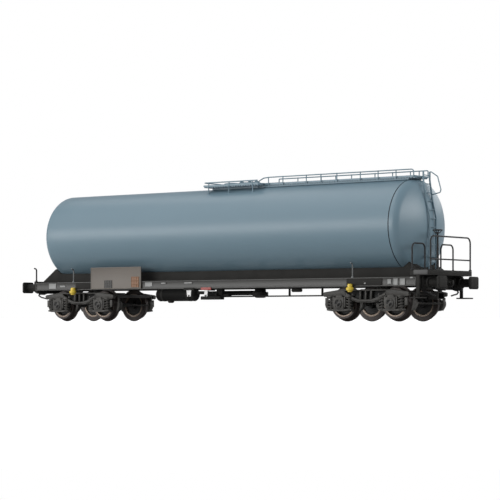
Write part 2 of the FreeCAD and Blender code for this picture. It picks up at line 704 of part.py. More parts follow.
BOARD_LEFT, BOARD_RIGHT = -57.0, -32.4
board_plate = block("board_plate", BOARD_RIGHT - BOARD_LEFT, 0.4, 8.0, (BOARD_LEFT + BOARD_RIGHT) / 2,
                    "-sill_face - 0.2", 12.0)
board_back = block("board_back", BOARD_RIGHT - BOARD_LEFT - 2, 0.5, 4.6, (BOARD_LEFT + BOARD_RIGHT) / 2,
                   "0.25 - sill_face", "sill_top")
finished(joined("board", board_plate, board_back), "lettering_board")

GRAB_RUN = (  # y, z from the sill's top edge
    ("0.65 - sill_face", "sill_top"),
    ("0.65 - sill_face", "sill_top + 4.4"),
    ("0.3 - sill_face", "sill_top + 4.8"),
    ("-0.6 - sill_face", "sill_top + 5.0"),
)
grab = bar("grab", "YZ", ribbon(GRAB_RUN, 0.45), 0.45)
GRABS = ((-85.9, "beam_top - sill_top"), (-66.6, 0), (60.3, 0))  # x, lift of the foot
grabs = [copied(f"grab_{grab_no}", grab, x, 0, lift) for grab_no, (x, lift) in enumerate(GRABS, 1)]
finished(grouped("grab_set", *grabs), "grab_posts")

# ---- Brake and discharge gear under the frame ----

RESERVOIR_X, RESERVOIR_Y, RESERVOIR_Z = -29.5, -7.0, 9.75
reservoir_drum = facet_rod("reservoir_drum", 12, 2.45, 17.4, RESERVOIR_X + 0.8, RESERVOIR_Y, RESERVOIR_Z, "X")
reservoir_ends = facet_rod("reservoir_ends", 8, 1.8, 19.0, RESERVOIR_X, RESERVOIR_Y, RESERVOIR_Z, "X")
reservoir_straps = [
    block(f"reservoir_strap_{name}", 0.9, 3.4, f"sill_top - member_deep - {RESERVOIR_Z}",
          x, RESERVOIR_Y, RESERVOIR_Z)
    for name, x in (("left", -MEMBER_SPACING * 1.75), ("right", -MEMBER_SPACING))
]
strap_rail = block("strap_rail", MEMBER_SPACING, 1.2, 0.8, -1.5 * MEMBER_SPACING, RESERVOIR_Y,
                   "sill_top - member_deep - 0.8")
reservoir_drain = facet_rod("reservoir_drain", 8, 1.2, 3.0, -24.0, RESERVOIR_Y, 6.7)
reservoir_pieces = (reservoir_drum, reservoir_ends, *reservoir_straps, strap_rail, reservoir_drain)
finished(joined("reservoir", *reservoir_pieces), "air_reservoir")

CYLINDER_Y = -6.9
cylinder_barrel = facet_rod("cylinder_barrel", 12, 1.6, 6.6, -7.6, CYLINDER_Y, 9.4, "X")
cylinder_rod = facet_rod("cylinder_rod", 6, 0.5, 4.0, -1.2, CYLINDER_Y, 9.4, "X")
cylinder_lever = block("cylinder_lever", 0.8, 1.9, 0.6, 2.4, -6.2, 8.8)
cylinder_hanger = block("cylinder_hanger", 3.0, 1.8, "sill_top - member_deep - 9.4", -1.0, CYLINDER_Y, 9.4)
cylinder_tray = block("cylinder_tray", 9.6, 2.6, 1.2, -3.6, -8.6, 7.8)
cylinder_pieces = (cylinder_barrel, cylinder_rod, cylinder_lever, cylinder_hanger, cylinder_tray)
finished(joined("cylinder", *cylinder_pieces), "brake_cylinder")

LEVERS = (("left", -9.8, 2.4), ("right", -2.0, 2.0))  # name, x, width of the pointer plate
levers = [
    joined(
        f"lever_{name}",
        block(f"lever_plate_{name}", 4.8, 0.4, 1.1, x, "-sill_face - 0.2", "sill_foot - 0.6"),
        block(f"lever_pointer_{name}", width, 0.5, 3.0, x, "-sill_face - 0.25", 8.7),
        block(f"lever_shaft_{name}", 0.7, 5.0, 0.7, x, "2.2 - sill_face", "sill_foot - 0.7"),
    )
    for name, x, width in LEVERS
]
finished(grouped("lever_set", *levers), "changeover_levers")

outlet_neck = facet_rod("outlet_neck", 8, 2.0, "tank_axis - tank_radius - 8.0", OUTLET_X, 0, 8.4)
outlet_flange = facet_rod("outlet_flange", 8, 2.9, 1.2, OUTLET_X, 0, 9.2)
outlet_pipe = facet_rod("outlet_pipe", 6, 0.95, 19.0, -7.4, 0, 10.2, "X")
outlet_blank = joined("outlet_blank", outlet_neck, outlet_flange, outlet_pipe)
finished(carved("outlet", outlet_blank, tank), "bottom_outlet")

pull_rod = block("pull_rod", 45.5, 0.5, 0.5, 20.7, -5.0, 8.65)
rod_hangers = [
    block(f"rod_hanger_{name}", 0.7, 0.8, "sill_top - member_deep - 8.7", x, -5.0, 8.7)
    for name, x in (("middle", 31.9), ("right", 43.0))
]
rod_rail = block("rod_rail", 12.0, 0.8, 0.8, 37.5, -5.0, "sill_top - member_deep - 0.8")
slack_box = block("slack_box", 4.4, 1.6, 1.4, 33.6, -5.0, "sill_top - member_deep - 2.6")
finished(joined("rodding", pull_rod, *rod_hangers, rod_rail, slack_box), "brake_rodding")

KNOB_REACH = 1.1
knob = joined(
    "knob",
    facet_rod("knob_stem", 6, 0.8, 2.8, 0, 0, 0),
    facet_rod("knob_skirt", 8, 1.3, 1.0, 0, 0, 0.5),
    block("knob_bracket", 0.8, KNOB_REACH, 0.9, 0, f"{KNOB_REACH}/2", 1.9),
)
knobs = [
    copied(f"knob_{name}", knob, x, f"-sill_face - {KNOB_REACH}", 9.9)
    for name, x in (("left", -65.4), ("right", 60.4))
]
finished(grouped("knob_pair", *knobs), "release_knobs")

# ---- Bogie: side frames, bolster, axleboxes with springs, and clasp brakes ----

FRAME_OUTLINE = (  # x, z of a side frame: beaked ends and a fish belly
    ("-bogie_half", "frame_top - 2.3"),
    ("-bogie_half", "frame_top - 0.8"),
    ("-10.8", "frame_top"),
    ("10.8", "frame_top"),
    ("bogie_half", "frame_top - 0.8"),
    ("bogie_half", "frame_top - 2.3"),
    ("8.6", "frame_top - 2.1"),
    ("5.6", "belly + 0.9"),
    ("3.0", "belly"),
    ("-3.0", "belly"),
    ("-5.6", "belly + 0.9"),
    ("-8.6", "frame_top - 2.1"),
)
FRAME_WEB = (  # x, z of the sunk web between the flanges
    ("-8.0", "frame_top - 0.6"),
    ("8.0", "frame_top - 0.6"),
    ("7.6", "frame_top - 1.6"),
    ("5.2", "belly + 1.6"),
    ("2.8", "belly + 0.8"),
    ("-2.8", "belly + 0.8"),
    ("-5.2", "belly + 1.6"),
    ("-7.6", "frame_top - 1.6"),
)
side_blank = bar("side_blank", "XZ", FRAME_OUTLINE, "frame_thick")
web_space = place(bar("web_space", "XZ", FRAME_WEB, "frame_thick"), 0, "-frame_thick/2 - 0.2", 0)
frame_ribs = [
    block(f"frame_rib_{rib_no}", 0.5, "frame_thick", "frame_top - belly - 1.2", x, 0, "belly + 0.6")
    for rib_no, x in enumerate((-3.4, 3.4), 1)
]
side_frame = joined("side_frame", carved("side_webbed", side_blank, web_space), *frame_ribs)
FRAME_Y = "-frame_side - frame_thick/2"
near_frame = copied("near_frame", side_frame, 0, FRAME_Y, 0)
bogie_sides = both_sides("bogie_sides", near_frame)

bogie_bolster = block("bogie_bolster", 6.0, "2 * frame_side", 2.2, 0, 0, 8.8)
bogie_bowl = facet_rod("bogie_bowl", 12, 2.8, "sill_foot - 11.0", 0, 0, 11.0)
bolster_bored = carved(
    "bolster_bored",
    joined("bolster_solid", bogie_bolster, bogie_bowl),
    rod("pivot_hole", 1.9, 4.0, 0, 0, 8.4),
)
bogie_ends = [
    block(f"bogie_end_{end}", 0.9, "2 * frame_side", 1.1, f"{sign}(bogie_half - 0.45)", 0, 8.8)
    for end, sign, turn in ENDS
]
bogie_cross = grouped("bogie_cross", bolster_bored, *bogie_ends)

BOX_OUTLINE = (  # x, z from the axle: an axlebox with its shoulders and skirt
    ("-2.1", "-2.2"),
    ("2.1", "-2.2"),
    ("2.1", "1.0"),
    ("1.3", "2.3"),
    ("-1.3", "2.3"),
    ("-2.1", "1.0"),
)
BOX_THICK = "(box_face - frame_side - 0.3)"
AXLE_X = "wheelbase/2"
SEAT_Y = "-frame_side - 1.1"
box_body = place(bar("box_body", "XZ", BOX_OUTLINE, BOX_THICK),
                 AXLE_X, f"{BOX_THICK}/2 - box_face", "flange_radius")
box_cover = facet_rod("box_cover", 8, 1.3, 0.5, AXLE_X, "-box_face - 0.5", "flange_radius", "Y")
spring_seat = block("spring_seat", 9.8, 1.8, 0.7, AXLE_X, SEAT_Y, 3.5)
springs = [
    facet_rod(f"spring_{name}", 6, 1.1, 4.8, f"{AXLE_X} {offset}", SEAT_Y, 4.2)
    for name, offset in (("inner", "- 3.7"), ("outer", "+ 3.7"))
]
corner_blank = joined("corner_blank", box_body, box_cover, spring_seat, *springs)
corner = carved("corner", corner_blank, copied("near_blank", side_blank, 0, FRAME_Y, 0))
near_corners = grouped("near_corners", corner, mirrored("left_corner", corner, x=1))
axleboxes = both_sides("axleboxes", near_corners)

BRAKE_BLOCK = (  # x, z from the wheel's middle: a block whose face is bent round the tread
    ("sqrt((flange_radius + block_gap)^2 - 2.4^2) + 0.1", "-2.4"),
    ("flange_radius + block_gap + 0.1", "-0.6"),
    ("flange_radius + block_gap + 0.1", "0.9"),
    ("flange_radius + block_gap + 0.9", "1.2"),
    ("flange_radius + block_gap + 1.3", "-0.2"),
    ("flange_radius + block_gap + 1.0", "-1.4"),
    ("flange_radius + block_gap + 0.3", "-2.4"),
)
outer_block = bar("outer_block", "XZ", BRAKE_BLOCK, 1.8)
inner_block = mirrored("inner_block", outer_block, x=1)
BRAKES = (  # name, x of the axle, block, way from the axle
    ("left_outer", "-wheelbase/2", inner_block, -1),
    ("left_inner", "-wheelbase/2", outer_block, 1),
    ("right_inner", "wheelbase/2", inner_block, -1),
    ("right_outer", "wheelbase/2", outer_block, 1),
)
brakes = []
for name, axle_x, shape, way in BRAKES:
    arm_x = f"{axle_x} + {way} * (flange_radius + block_gap + 0.45)"
    pieces = [block(f"brake_beam_{name}", 0.7, 19.6, 0.9, arm_x, 0, 5.6)]
    for side, sign in SIDES:
        pieces.append(copied(f"brake_block_{side}_{name}", shape, axle_x, f"{sign}8.9", "flange_radius"))
        pieces.append(block(f"brake_hanger_{side}_{name}", 0.7, 0.8, 2.2, arm_x, f"{sign}9.4", 6.6))
    brakes.append(joined(f"brake_{name}", *pieces))
brake_gear = grouped("brake_set", *brakes)

# ---- Wheelset: axle and two disc wheels, turned in one ----

WHEEL = (  # radius, y: half the wheelset from its middle to the axle's end
    ("0", "0"),
    ("0.8", "0"),
    ("0.8", "wheel_back"),
    ("flange_radius", "wheel_back"),
    ("tread_radius", "wheel_back + 0.8"),
    ("tread_radius", "wheel_face"),
    ("0.5", "wheel_face"),
    ("0.5", "axle_end"),
    ("0", "axle_end"),
)
wheelset = doc.addObject("PartDesign::Body", "wheelset")
reflected(wheelset, turned(wheelset, drawn(wheelset, "wheel_outline", "XY", WHEEL), "V_Axis"), "XZ")

for end, sign, turn in ENDS:
    for label, source in (
        ("bogie_sides", bogie_sides),
        ("bogie_bolster", bogie_cross),
        ("axleboxes", axleboxes),
        ("brake_gear", brake_gear),
    ):
        finished(copied(f"{label}_of_{end}", source, f"{sign}pivot", 0, 0), f"{label}_{end}")
    for which, reach in (("outer", "pivot + wheelbase/2"), ("inner", "pivot - wheelbase/2")):
        wheels = copied(f"wheels_{end}_{which}", wheelset, f"{sign}({reach})", 0, "flange_radius")
        finished(wheels, f"wheelset_{end}_{which}")

# ---- Check and write ----

doc.recompute()
for thing in doc.Objects:
    if "Invalid" in thing.State or "Error" in thing.State:
        raise RuntimeError(f"{thing.Name} failed: {thing.State}")
os.makedirs("parts", exist_ok=True)
for thing in nodes:
    shape = thing.Shape
    if shape.isNull() or not shape.isValid() or not shape.Solids:
        raise RuntimeError(f"{thing.Label} has no sound solid")
    shape.exportStep(f"parts/{thing.Label}.step")
    print(f"{thing.Label:24s} solids {len(shape.Solids):2d} volume {shape.Volume:9.2f}")
print(len(nodes), "sub-parts")
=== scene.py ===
from math import cos, pi, radians, sin, sqrt

import bmesh
import bpy
from mathutils import Matrix, Vector


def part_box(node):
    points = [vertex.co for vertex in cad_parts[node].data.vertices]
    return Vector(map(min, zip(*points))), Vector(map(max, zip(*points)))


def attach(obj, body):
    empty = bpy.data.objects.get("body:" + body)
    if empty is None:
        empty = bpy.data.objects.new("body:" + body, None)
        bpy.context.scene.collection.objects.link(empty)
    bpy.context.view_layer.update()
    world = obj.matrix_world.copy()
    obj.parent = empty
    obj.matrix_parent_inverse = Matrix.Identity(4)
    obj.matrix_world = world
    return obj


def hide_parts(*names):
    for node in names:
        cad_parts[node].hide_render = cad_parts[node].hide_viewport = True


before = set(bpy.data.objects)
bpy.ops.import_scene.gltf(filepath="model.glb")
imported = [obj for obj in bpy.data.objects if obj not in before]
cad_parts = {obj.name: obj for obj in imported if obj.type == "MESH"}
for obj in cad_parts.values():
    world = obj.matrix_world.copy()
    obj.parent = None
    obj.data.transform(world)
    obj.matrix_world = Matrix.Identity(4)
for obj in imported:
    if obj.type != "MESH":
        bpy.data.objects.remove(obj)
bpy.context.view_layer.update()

bpy.ops.object.select_all(action="DESELECT")

# ---- Tank ----
# A long barrel with two dished ends, moulded as one smooth plastic shell and sprayed a satin
# blue-grey; a fine groove marks where the end by the platform is let in, its faces painted
# near-black: painted shade in the groove.


def span(node):
    """The lowest and highest corner of a frame node, in millimetres."""
    low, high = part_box(node)
    return Vector(low) * 1000, Vector(high) * 1000


def start(piece_primitive, **sizes):
    """Add a primitive, put its place in its mesh, and open it in edit mode."""
    bpy.ops.object.select_all(action="DESELECT")
    piece_primitive(**sizes)
    bpy.ops.object.transform_apply(location=True, rotation=True, scale=True)
    bpy.ops.object.mode_set(mode="EDIT")
    return bpy.context.active_object


def pick(piece, test, kind="faces"):
    """In edit mode, select only the faces, edges or vertices that pass a test."""
    bpy.ops.mesh.select_mode(type={"faces": "FACE", "edges": "EDGE", "verts": "VERT"}[kind])
    bpy.ops.mesh.select_all(action="DESELECT")
    mesh = bmesh.from_edit_mesh(piece.data)
    for part in getattr(mesh, kind):
        part.select_set(bool(test(part)))
    mesh.select_flush_mode()
    bmesh.update_edit_mesh(piece.data)


def middle(face):
    """The centre of a face."""
    return face.calc_center_median()


def push(x=0.0, y=0.0, z=0.0):
    """Extrude what is selected by a step."""
    bpy.ops.mesh.extrude_region_move(TRANSFORM_OT_translate={"value": (x, y, z)})


def modified(piece, kind, **settings):
    """Put a modifier on a piece and apply it."""
    bpy.context.view_layer.objects.active = piece
    modifier = piece.modifiers.new(kind.lower(), kind)
    for name, value in settings.items():
        setattr(modifier, name, value)
    bpy.ops.object.modifier_apply(modifier=modifier.name)
    return piece


def shaped(piece, edge=0.0, angle=35):
    """Leave edit mode with faces outwards, break the sharp edges and shade the piece."""
    bpy.ops.mesh.select_all(action="SELECT")
    bpy.ops.mesh.remove_doubles(threshold=0.0005)
    bpy.ops.mesh.normals_make_consistent(inside=False)
    bpy.ops.object.mode_set(mode="OBJECT")
    if edge:
        modified(piece, "BEVEL", width=edge, segments=2, limit_method="ANGLE",
                 angle_limit=radians(angle), harden_normals=False)
    bpy.ops.object.shade_smooth_by_angle(angle=radians(angle))
    return piece


TURN_TO = {"X": (0, pi / 2, 0), "Y": (-pi / 2, 0, 0), "Z": (0, 0, 0)}
HEADING = {"X": Vector((1, 0, 0)), "Y": Vector((0, 1, 0)), "Z": Vector((0, 0, 1))}


def turned(profile, place, axis="X", sides=32, edge=0.0, angle=35):
    """A turned piece: a disc drawn out along an axis through steps of distance and radius."""
    place, way = Vector(place), HEADING[axis]
    here, radius = profile[0]
    piece = start(bpy.ops.mesh.primitive_circle_add, vertices=sides, radius=radius, fill_type="NGON",
                  location=place + way * here, rotation=TURN_TO[axis])
    bpy.ops.mesh.select_all(action="SELECT")
    for along, wide in profile[1:]:
        push(*(way * (along - here)))
        ratio = wide / radius
        grow = [1 if part else ratio for part in way]
        bpy.ops.transform.resize(value=grow, center_override=place + way * along)
        here, radius = along, wide
    return shaped(piece, edge, angle)


def settled(piece, name, paint=None):
    """Name a finished piece, bring its mesh from millimetres to metres and paint it."""
    bpy.ops.object.select_all(action="DESELECT")
    piece.select_set(True)
    bpy.context.view_layer.objects.active = piece
    piece.scale = (0.001, 0.001, 0.001)
    bpy.ops.object.transform_apply(location=True, rotation=True, scale=True)
    piece.name = piece.data.name = name
    if paint:
        piece.data.materials.clear()
        piece.data.materials.append(paint)
    return piece


def dressed(piece, base, *others):
    """Paint a piece, and the faces that pass the test beside each other paint with that."""
    for paint in (base, *[paint for paint, test in others]):
        piece.data.materials.append(paint)
    bpy.ops.object.mode_set(mode="EDIT")
    for number, (paint, test) in enumerate(others, 1):
        pick(piece, test)
        piece.active_material_index = number
        bpy.ops.object.material_slot_assign()
    bpy.ops.object.mode_set(mode="OBJECT")
    return piece


class Wire:
    """An output of a node; sums and products of wires and numbers add their Math nodes."""

    def __init__(self, tree, socket=None):
        self.tree, self.socket = tree, socket

    def add(self, kind, settings=None, inputs=None, output=0):
        """A new node: its settings first, then the value or wire of each input."""
        node = self.tree.nodes.new(kind)
        for name, value in (settings or {}).items():
            setattr(node, name, value)
        for name, value in (inputs or {}).items():
            if isinstance(value, Wire):
                self.tree.links.new(value.socket, node.inputs[name])
            else:
                node.inputs[name].default_value = value
        return Wire(self.tree, node.outputs[output] if len(node.outputs) else None)

    def maths(self, operation, first, second=0.0):
        """A Math node on two wires or numbers."""
        return self.add("ShaderNodeMath", {"operation": operation}, {0: first, 1: second})

    def mix(self, amount, low, high):
        """From one colour to another by an amount."""
        low, high = [tone if isinstance(tone, Wire) else (*tone, 1.0) for tone in (low, high)]
        return self.add("ShaderNodeMix", {"data_type": "RGBA"}, {0: amount, 6: low, 7: high}, 2)

    def __add__(self, other):
        return self.maths("ADD", self, other)

    def __mul__(self, other):
        return self.maths("MULTIPLY", self, other)

    __radd__, __rmul__ = __add__, __mul__


def bare(name):
    """A new material's empty node tree, and the material."""
    paint = bpy.data.materials.new(name)
    paint.use_nodes = True
    paint.node_tree.nodes.clear()
    return paint, Wire(paint.node_tree)


def sprayed(name, tone, rough, drift=0.10, tooth=0.02, shade=(0.5, 0.5, 0.5), metal=0.0):
    """Satin paint: its tone drifts a little and a fine tooth breaks up the shine."""
    paint, wires = bare(name)
    spot = wires.add("ShaderNodeTexCoord", output="Object")
    cloud = wires.add("ShaderNodeTexNoise", None, {"Vector": spot, "Scale": 70.0, "Detail": 4.0})
    speck = wires.add("ShaderNodeTexNoise", None, {"Vector": spot, "Scale": 2600.0, "Detail": 2.0})
    dark = [part * (1 - shade_part * 2 * drift) for part, shade_part in zip(tone, shade)]
    light = [part * (1 + drift) for part in tone]
    colour = wires.mix(cloud * 0.8 + speck * 0.2, dark, light)
    bump = wires.add("ShaderNodeBump", None, {"Strength": tooth, "Distance": 0.0001, "Height": speck})
    shader = wires.add("ShaderNodeBsdfPrincipled", None, {
        "Base Color": colour, "Roughness": cloud * 0.10 + (rough - 0.05), "Metallic": metal, "Normal": bump})
    wires.add("ShaderNodeOutputMaterial", None, {"Surface": shader})
    return paint


BLUE_GREY, SEAM_PAINTED_SHADE = (0.160, 0.242, 0.292), (0.012, 0.015, 0.017)
tank_paint = sprayed("tank_paint", BLUE_GREY, 0.36, drift=0.035)
# Near-black for the faces of the seam groove at the platform end: painted shade in the groove.
seam_painted_shade = sprayed("seam_painted_shade", SEAM_PAINTED_SHADE, 0.6)

low, high = span("tank")
radius, axis_z = (high.y - low.y) / 2, (high.z + low.z) / 2
SHOULDER, KNUCKLE, KNUCKLE_TURN, CROWN = 76.9, 3.2, radians(62.5), 30.38
KNUCKLE_STEPS, CROWN_STEPS = 8, 10
dished = []
for step in range(1, KNUCKLE_STEPS + 1):
    turn = KNUCKLE_TURN * step / KNUCKLE_STEPS
    dished.append((SHOULDER + KNUCKLE * sin(turn), radius - KNUCKLE * (1 - cos(turn))))
for step in range(CROWN_STEPS - 1, -1, -1):
    turn = (pi / 2 - KNUCKLE_TURN) * (step + 0.25) / CROWN_STEPS
    bulge = CROWN * (cos(turn) - sin(KNUCKLE_TURN))
    dished.append((SHOULDER + KNUCKLE * sin(KNUCKLE_TURN) + bulge, CROWN * sin(turn)))
SEAM, GROOVE_HALF, GROOVE_DEEP = 76.15, 0.17, 0.16
GROOVE = [(SEAM - GROOVE_HALF, radius), (SEAM - 0.12, radius - GROOVE_DEEP),
          (SEAM + 0.12, radius - GROOVE_DEEP), (SEAM + GROOVE_HALF, radius - 0.02)]
profile = [(-along, wide) for along, wide in reversed(dished)]
profile += [(10.0 - SEAM, radius), (0.0, radius), (SEAM - 10.0, radius)] + GROOVE + dished
barrel = turned(profile, (0, 0, axis_z), sides=160, angle=30)
# Painted shade: the groove's faces at the platform end take the near-black paint.
dressed(barrel, tank_paint, (seam_painted_shade, lambda face: abs(middle(face).x - SEAM) < GROOVE_HALF))
settled(barrel, "tank_shell")
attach(barrel, "wagon")
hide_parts("tank")

# ---- Wheelsets ----
# Turned metal wheels on steel axles, browned by chemical blackening: a bronze ring on each
# face, treads and flanges a darker brown, dished discs painted dark, each pair fixed on its axle.


def turned_metal(name, x, z, tone, rough):
    """Turned metal: fine rings round the axle, and a browned film that comes and goes."""
    paint, wires = bare(name)
    spot = wires.add("ShaderNodeTexCoord", output="Object")
    centred = wires.add("ShaderNodeMapping", None, {"Vector": spot, "Location": (-x / 1000, 0, -z / 1000)})
    along, up = [wires.add("ShaderNodeSeparateXYZ", None, {"Vector": centred}, way) for way in (0, 2)]
    far = wires.maths("SQRT", along * along + up * up)
    rings = wires.maths("SINE", far * 52000.0)
    film = wires.add("ShaderNodeTexNoise", None, {"Vector": centred, "Scale": 420.0, "Detail": 5.0})
    colour = wires.mix(film, [part * 0.62 for part in tone], [part * 1.3 for part in tone])
    bump = wires.add("ShaderNodeBump", None, {"Strength": 0.12, "Distance": 0.00003, "Height": rings})
    shader = wires.add("ShaderNodeBsdfPrincipled", None, {
        "Base Color": colour, "Roughness": film * 0.16 + (rough - 0.08), "Metallic": 0.85, "Normal": bump})
    wires.add("ShaderNodeOutputMaterial", None, {"Surface": shader})
    return paint


def from_axle(face, x):
    """How far a face lies from the axle at a place along the wagon."""
    return sqrt((middle(face).x - x) ** 2 + (middle(face).z - axle_z) ** 2)


BRONZE, DISC_BLACK, TREAD_BROWN = (0.17, 0.135, 0.108), (0.014, 0.0135, 0.0125), (0.032, 0.022, 0.018)
wheel_dark = sprayed("wheel_dark", DISC_BLACK, 0.5, drift=0.2)
tread_dark = sprayed("tread_dark", TREAD_BROWN, 0.42, drift=0.25, metal=0.3)
low, high = span("wheelset_right_inner")
axle_z, flange = (low.z + high.z) / 2, (high.z - low.z) / 2
TREAD, BACK, FACE = 5.3, 7.18, 9.95
DISC_EDGE, RING_EDGE = 3.72, 4.46  # radii between the dark disc, the bronze ring and the dark brown tread
HALF_SET = (  # distance from the middle of the axle, radius
    (0.0, 0.72), (BACK - 1.2, 0.72), (BACK - 1.0, 1.5), (BACK + 0.15, 1.6), (BACK + 0.45, 3.6),
    (BACK, 3.85), (BACK, 4.4), (BACK, 5.85), (BACK + 0.14, 6.05), (BACK + 0.30, flange), (BACK + 0.48, 6.02),
    (BACK + 0.66, 5.62), (BACK + 0.88, TREAD + 0.06), (FACE - 0.2, TREAD - 0.05), (FACE, TREAD - 0.22),
    (FACE, 4.45), (FACE, 4.05), (FACE - 0.12, 3.95), (FACE - 0.8, 3.85), (FACE - 1.15, 3.4), (FACE - 0.85, 2.0),
    (FACE - 0.15, 1.62), (FACE + 0.05, 1.45), (FACE + 0.05, 0.62), (FACE + 0.55, 0.5), (FACE + 0.93, 0.16),
)
whole_set = [(-along, wide) for along, wide in reversed(HALF_SET)] + list(HALF_SET[1:])
for end in ("left", "right"):
    for which in ("outer", "inner"):
        low, high = span(f"wheelset_{end}_{which}")
        x = (low.x + high.x) / 2
        wheels = turned(whole_set, (x, 0, axle_z), "Y", sides=80, angle=28)
        metal = turned_metal(f"tread_metal_{end}_{which}", x, axle_z, BRONZE, 0.34)
        dressed(wheels, metal,
                (wheel_dark, lambda face: abs(middle(face).y) < BACK - 0.5 or from_axle(face, x) < DISC_EDGE),
                (tread_dark, lambda face: from_axle(face, x) > RING_EDGE))
        settled(wheels, f"wheels_{end}_{which}")
        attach(wheels, f"wheels_{end}_{which}")
        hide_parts(f"wheelset_{end}_{which}")

# ---- Bogie side frames ----
# Fish-bellied frames with drawn-out beaks: a sunk web inside raised flanges, moulded in a
# near-black plastic, their edges painted a warm grey for dust and a painted edge highlight.


def pull_to(low, high, foot, top):
    """Move a selected upright edge from one pair of heights to another."""
    bpy.ops.transform.translate(value=(0, 0, (foot + top) / 2 - (low + high) / 2))
    bpy.ops.transform.resize(value=(1, 1, (top - foot) / (high - low)),
                             center_override=(0, 0, (foot + top) / 2))


def joined(pieces):
    """Several meshes made one."""
    bpy.ops.object.select_all(action="DESELECT")
    for piece in pieces:
        piece.select_set(True)
    bpy.context.view_layer.objects.active = pieces[0]
    bpy.ops.object.join()
    return pieces[0]


def copied(piece, move=(0, 0, 0), turn=0.0):
    """A copy with its own mesh, turned about the vertical and then moved."""
    bpy.ops.object.select_all(action="DESELECT")
    piece.select_set(True)
    bpy.context.view_layer.objects.active = piece
    bpy.ops.object.duplicate(linked=False)
    twin = bpy.context.active_object
    twin.matrix_world = Matrix.Translation(Vector(move)) @ Matrix.Rotation(turn, 4, "Z")
    bpy.ops.object.transform_apply(location=True, rotation=True, scale=True)
    return twin


def reflected(piece, axis):
    """A piece with its mirror image across the middle of the wagon."""
    return modified(piece, "MIRROR", use_axis=[axis == name for name in "XYZ"], use_mirror_merge=False)


def moulded(name, tone, rough, dust_and_sheen, reach=0.5, shine=0.2):
    """Matt moulded plastic whose ridges take a lighter tone: dust together with a painted edge highlight."""
    paint, wires = bare(name)
    spot = wires.add("ShaderNodeTexCoord", output="Object")
    cloud = wires.add("ShaderNodeTexNoise", None, {"Vector": spot, "Scale": 160.0, "Detail": 5.0})
    speck = wires.add("ShaderNodeTexNoise", None, {"Vector": spot, "Scale": 3200.0, "Detail": 2.0})
    ridge = wires.add("ShaderNodeNewGeometry", output="Pointiness")
    # Lighter paint on sharp ridges, found by pointiness: a painted edge highlight as well as dust.
    dust_and_sheen_amount = wires.add("ShaderNodeMapRange", None, {0: ridge, 1: 0.505, 2: 0.54, 3: 0.0, 4: reach})
    plain = wires.mix(cloud, [part * 0.8 for part in tone], [part * 1.2 for part in tone])
    colour = wires.mix(dust_and_sheen_amount * (cloud * 0.8 + 0.3), plain, dust_and_sheen)
    bump = wires.add("ShaderNodeBump", None, {"Strength": 0.08, "Distance": 0.0001, "Height": speck})
    shader = wires.add("ShaderNodeBsdfPrincipled", None, {
        "Base Color": colour, "Roughness": cloud * 0.12 + (rough - 0.06), "Specular IOR Level": shine,
        "Normal": bump})
    wires.add("ShaderNodeOutputMaterial", None, {"Surface": shader})
    return paint


def plate(stations, at, thick, along="X"):
    """An upright plate, its outline pulled edge by edge through steps of place, foot and top."""
    run, across = HEADING[along], HEADING["Y" if along == "X" else "X"]
    (first, foot, top), (second, next_foot, next_top) = stations[:2]
    spot = run * (first + second) / 2 + across * (at - thick / 2) + HEADING["Z"] * (foot + top) / 2
    piece = start(bpy.ops.mesh.primitive_plane_add, size=1, location=spot,
                  rotation=(pi / 2, 0, 0 if along == "X" else pi / 2))
    bpy.ops.mesh.select_all(action="SELECT")
    grow = run * (second - first) + across + HEADING["Z"] * (top - foot)
    bpy.ops.transform.resize(value=grow, center_override=spot)
    pick(piece, lambda vert: vert.co.dot(run) > (first + second) / 2, "verts")
    pull_to(foot, top, next_foot, next_top)
    here, foot, top = second, next_foot, next_top
    for place, next_foot, next_top in stations[2:]:
        push(*(run * (place - here)))
        pull_to(foot, top, next_foot, next_top)
        here, foot, top = place, next_foot, next_top
    bpy.ops.mesh.select_all(action="SELECT")
    push(*(across * thick))
    bpy.ops.mesh.select_all(action="SELECT")
    bpy.ops.mesh.normals_make_consistent(inside=False)
    return piece


# The warm grey on the ridges is dust and a painted edge highlight together.
BOGIE_BLACK, DUST_AND_SHEEN_GREY = (0.005, 0.0049, 0.0045), (0.21, 0.20, 0.185)
bogie_black = moulded("bogie_black", BOGIE_BLACK, 0.36, DUST_AND_SHEEN_GREY, reach=0.5, shine=0.12)
ENDS = (("left", -1), ("right", 1))
pivot_x = (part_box("bogie_bolster_right")[0][0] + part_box("bogie_bolster_right")[1][0]) * 500
low, high = span("bogie_sides_right")
beak, top, belly = (high.x - low.x) / 2, high.z, low.z
frame_y, frame_thick = low.y + 0.8, 1.6
SIDE_STATIONS = [  # place, foot, top, from the beak to the middle
    (-beak, top - 2.0, top - 1.0), (0.5 - beak, top - 2.35, top - 0.75), (-10.8, top - 2.2, top),
    (-8.6, top - 2.1, top), (-7.2, top - 2.75, top), (-5.4, top - 3.6, top), (-4.0, belly + 0.25, top),
    (-2.9, belly, top),
]
SIDE_STATIONS += [(-place, foot, head) for place, foot, head in reversed(SIDE_STATIONS)]
frame_side = plate(SIDE_STATIONS, frame_y, frame_thick)
WEB_END, WEB_RIM, WEB_SUNK = 8.7, 0.42, 1.2
pick(frame_side, lambda face: face.normal.y < -0.5 and abs(middle(face).x) < WEB_END)
bpy.ops.mesh.inset(thickness=WEB_RIM)
push(y=WEB_SUNK)
shaped(frame_side, edge=0.09)
BELLY_CURVE = [(-8.0, 8.45, 9.75), (-6.2, 7.6, 8.9), (-4.4, 6.8, 8.0), (-2.2, belly + 0.08, 7.4)]
BELLY_CURVE += [(-place, foot, head) for place, foot, head in reversed(BELLY_CURVE)]
belly_bar = shaped(plate(BELLY_CURVE, frame_y - 0.25, 1.1), edge=0.12)
ribs = []
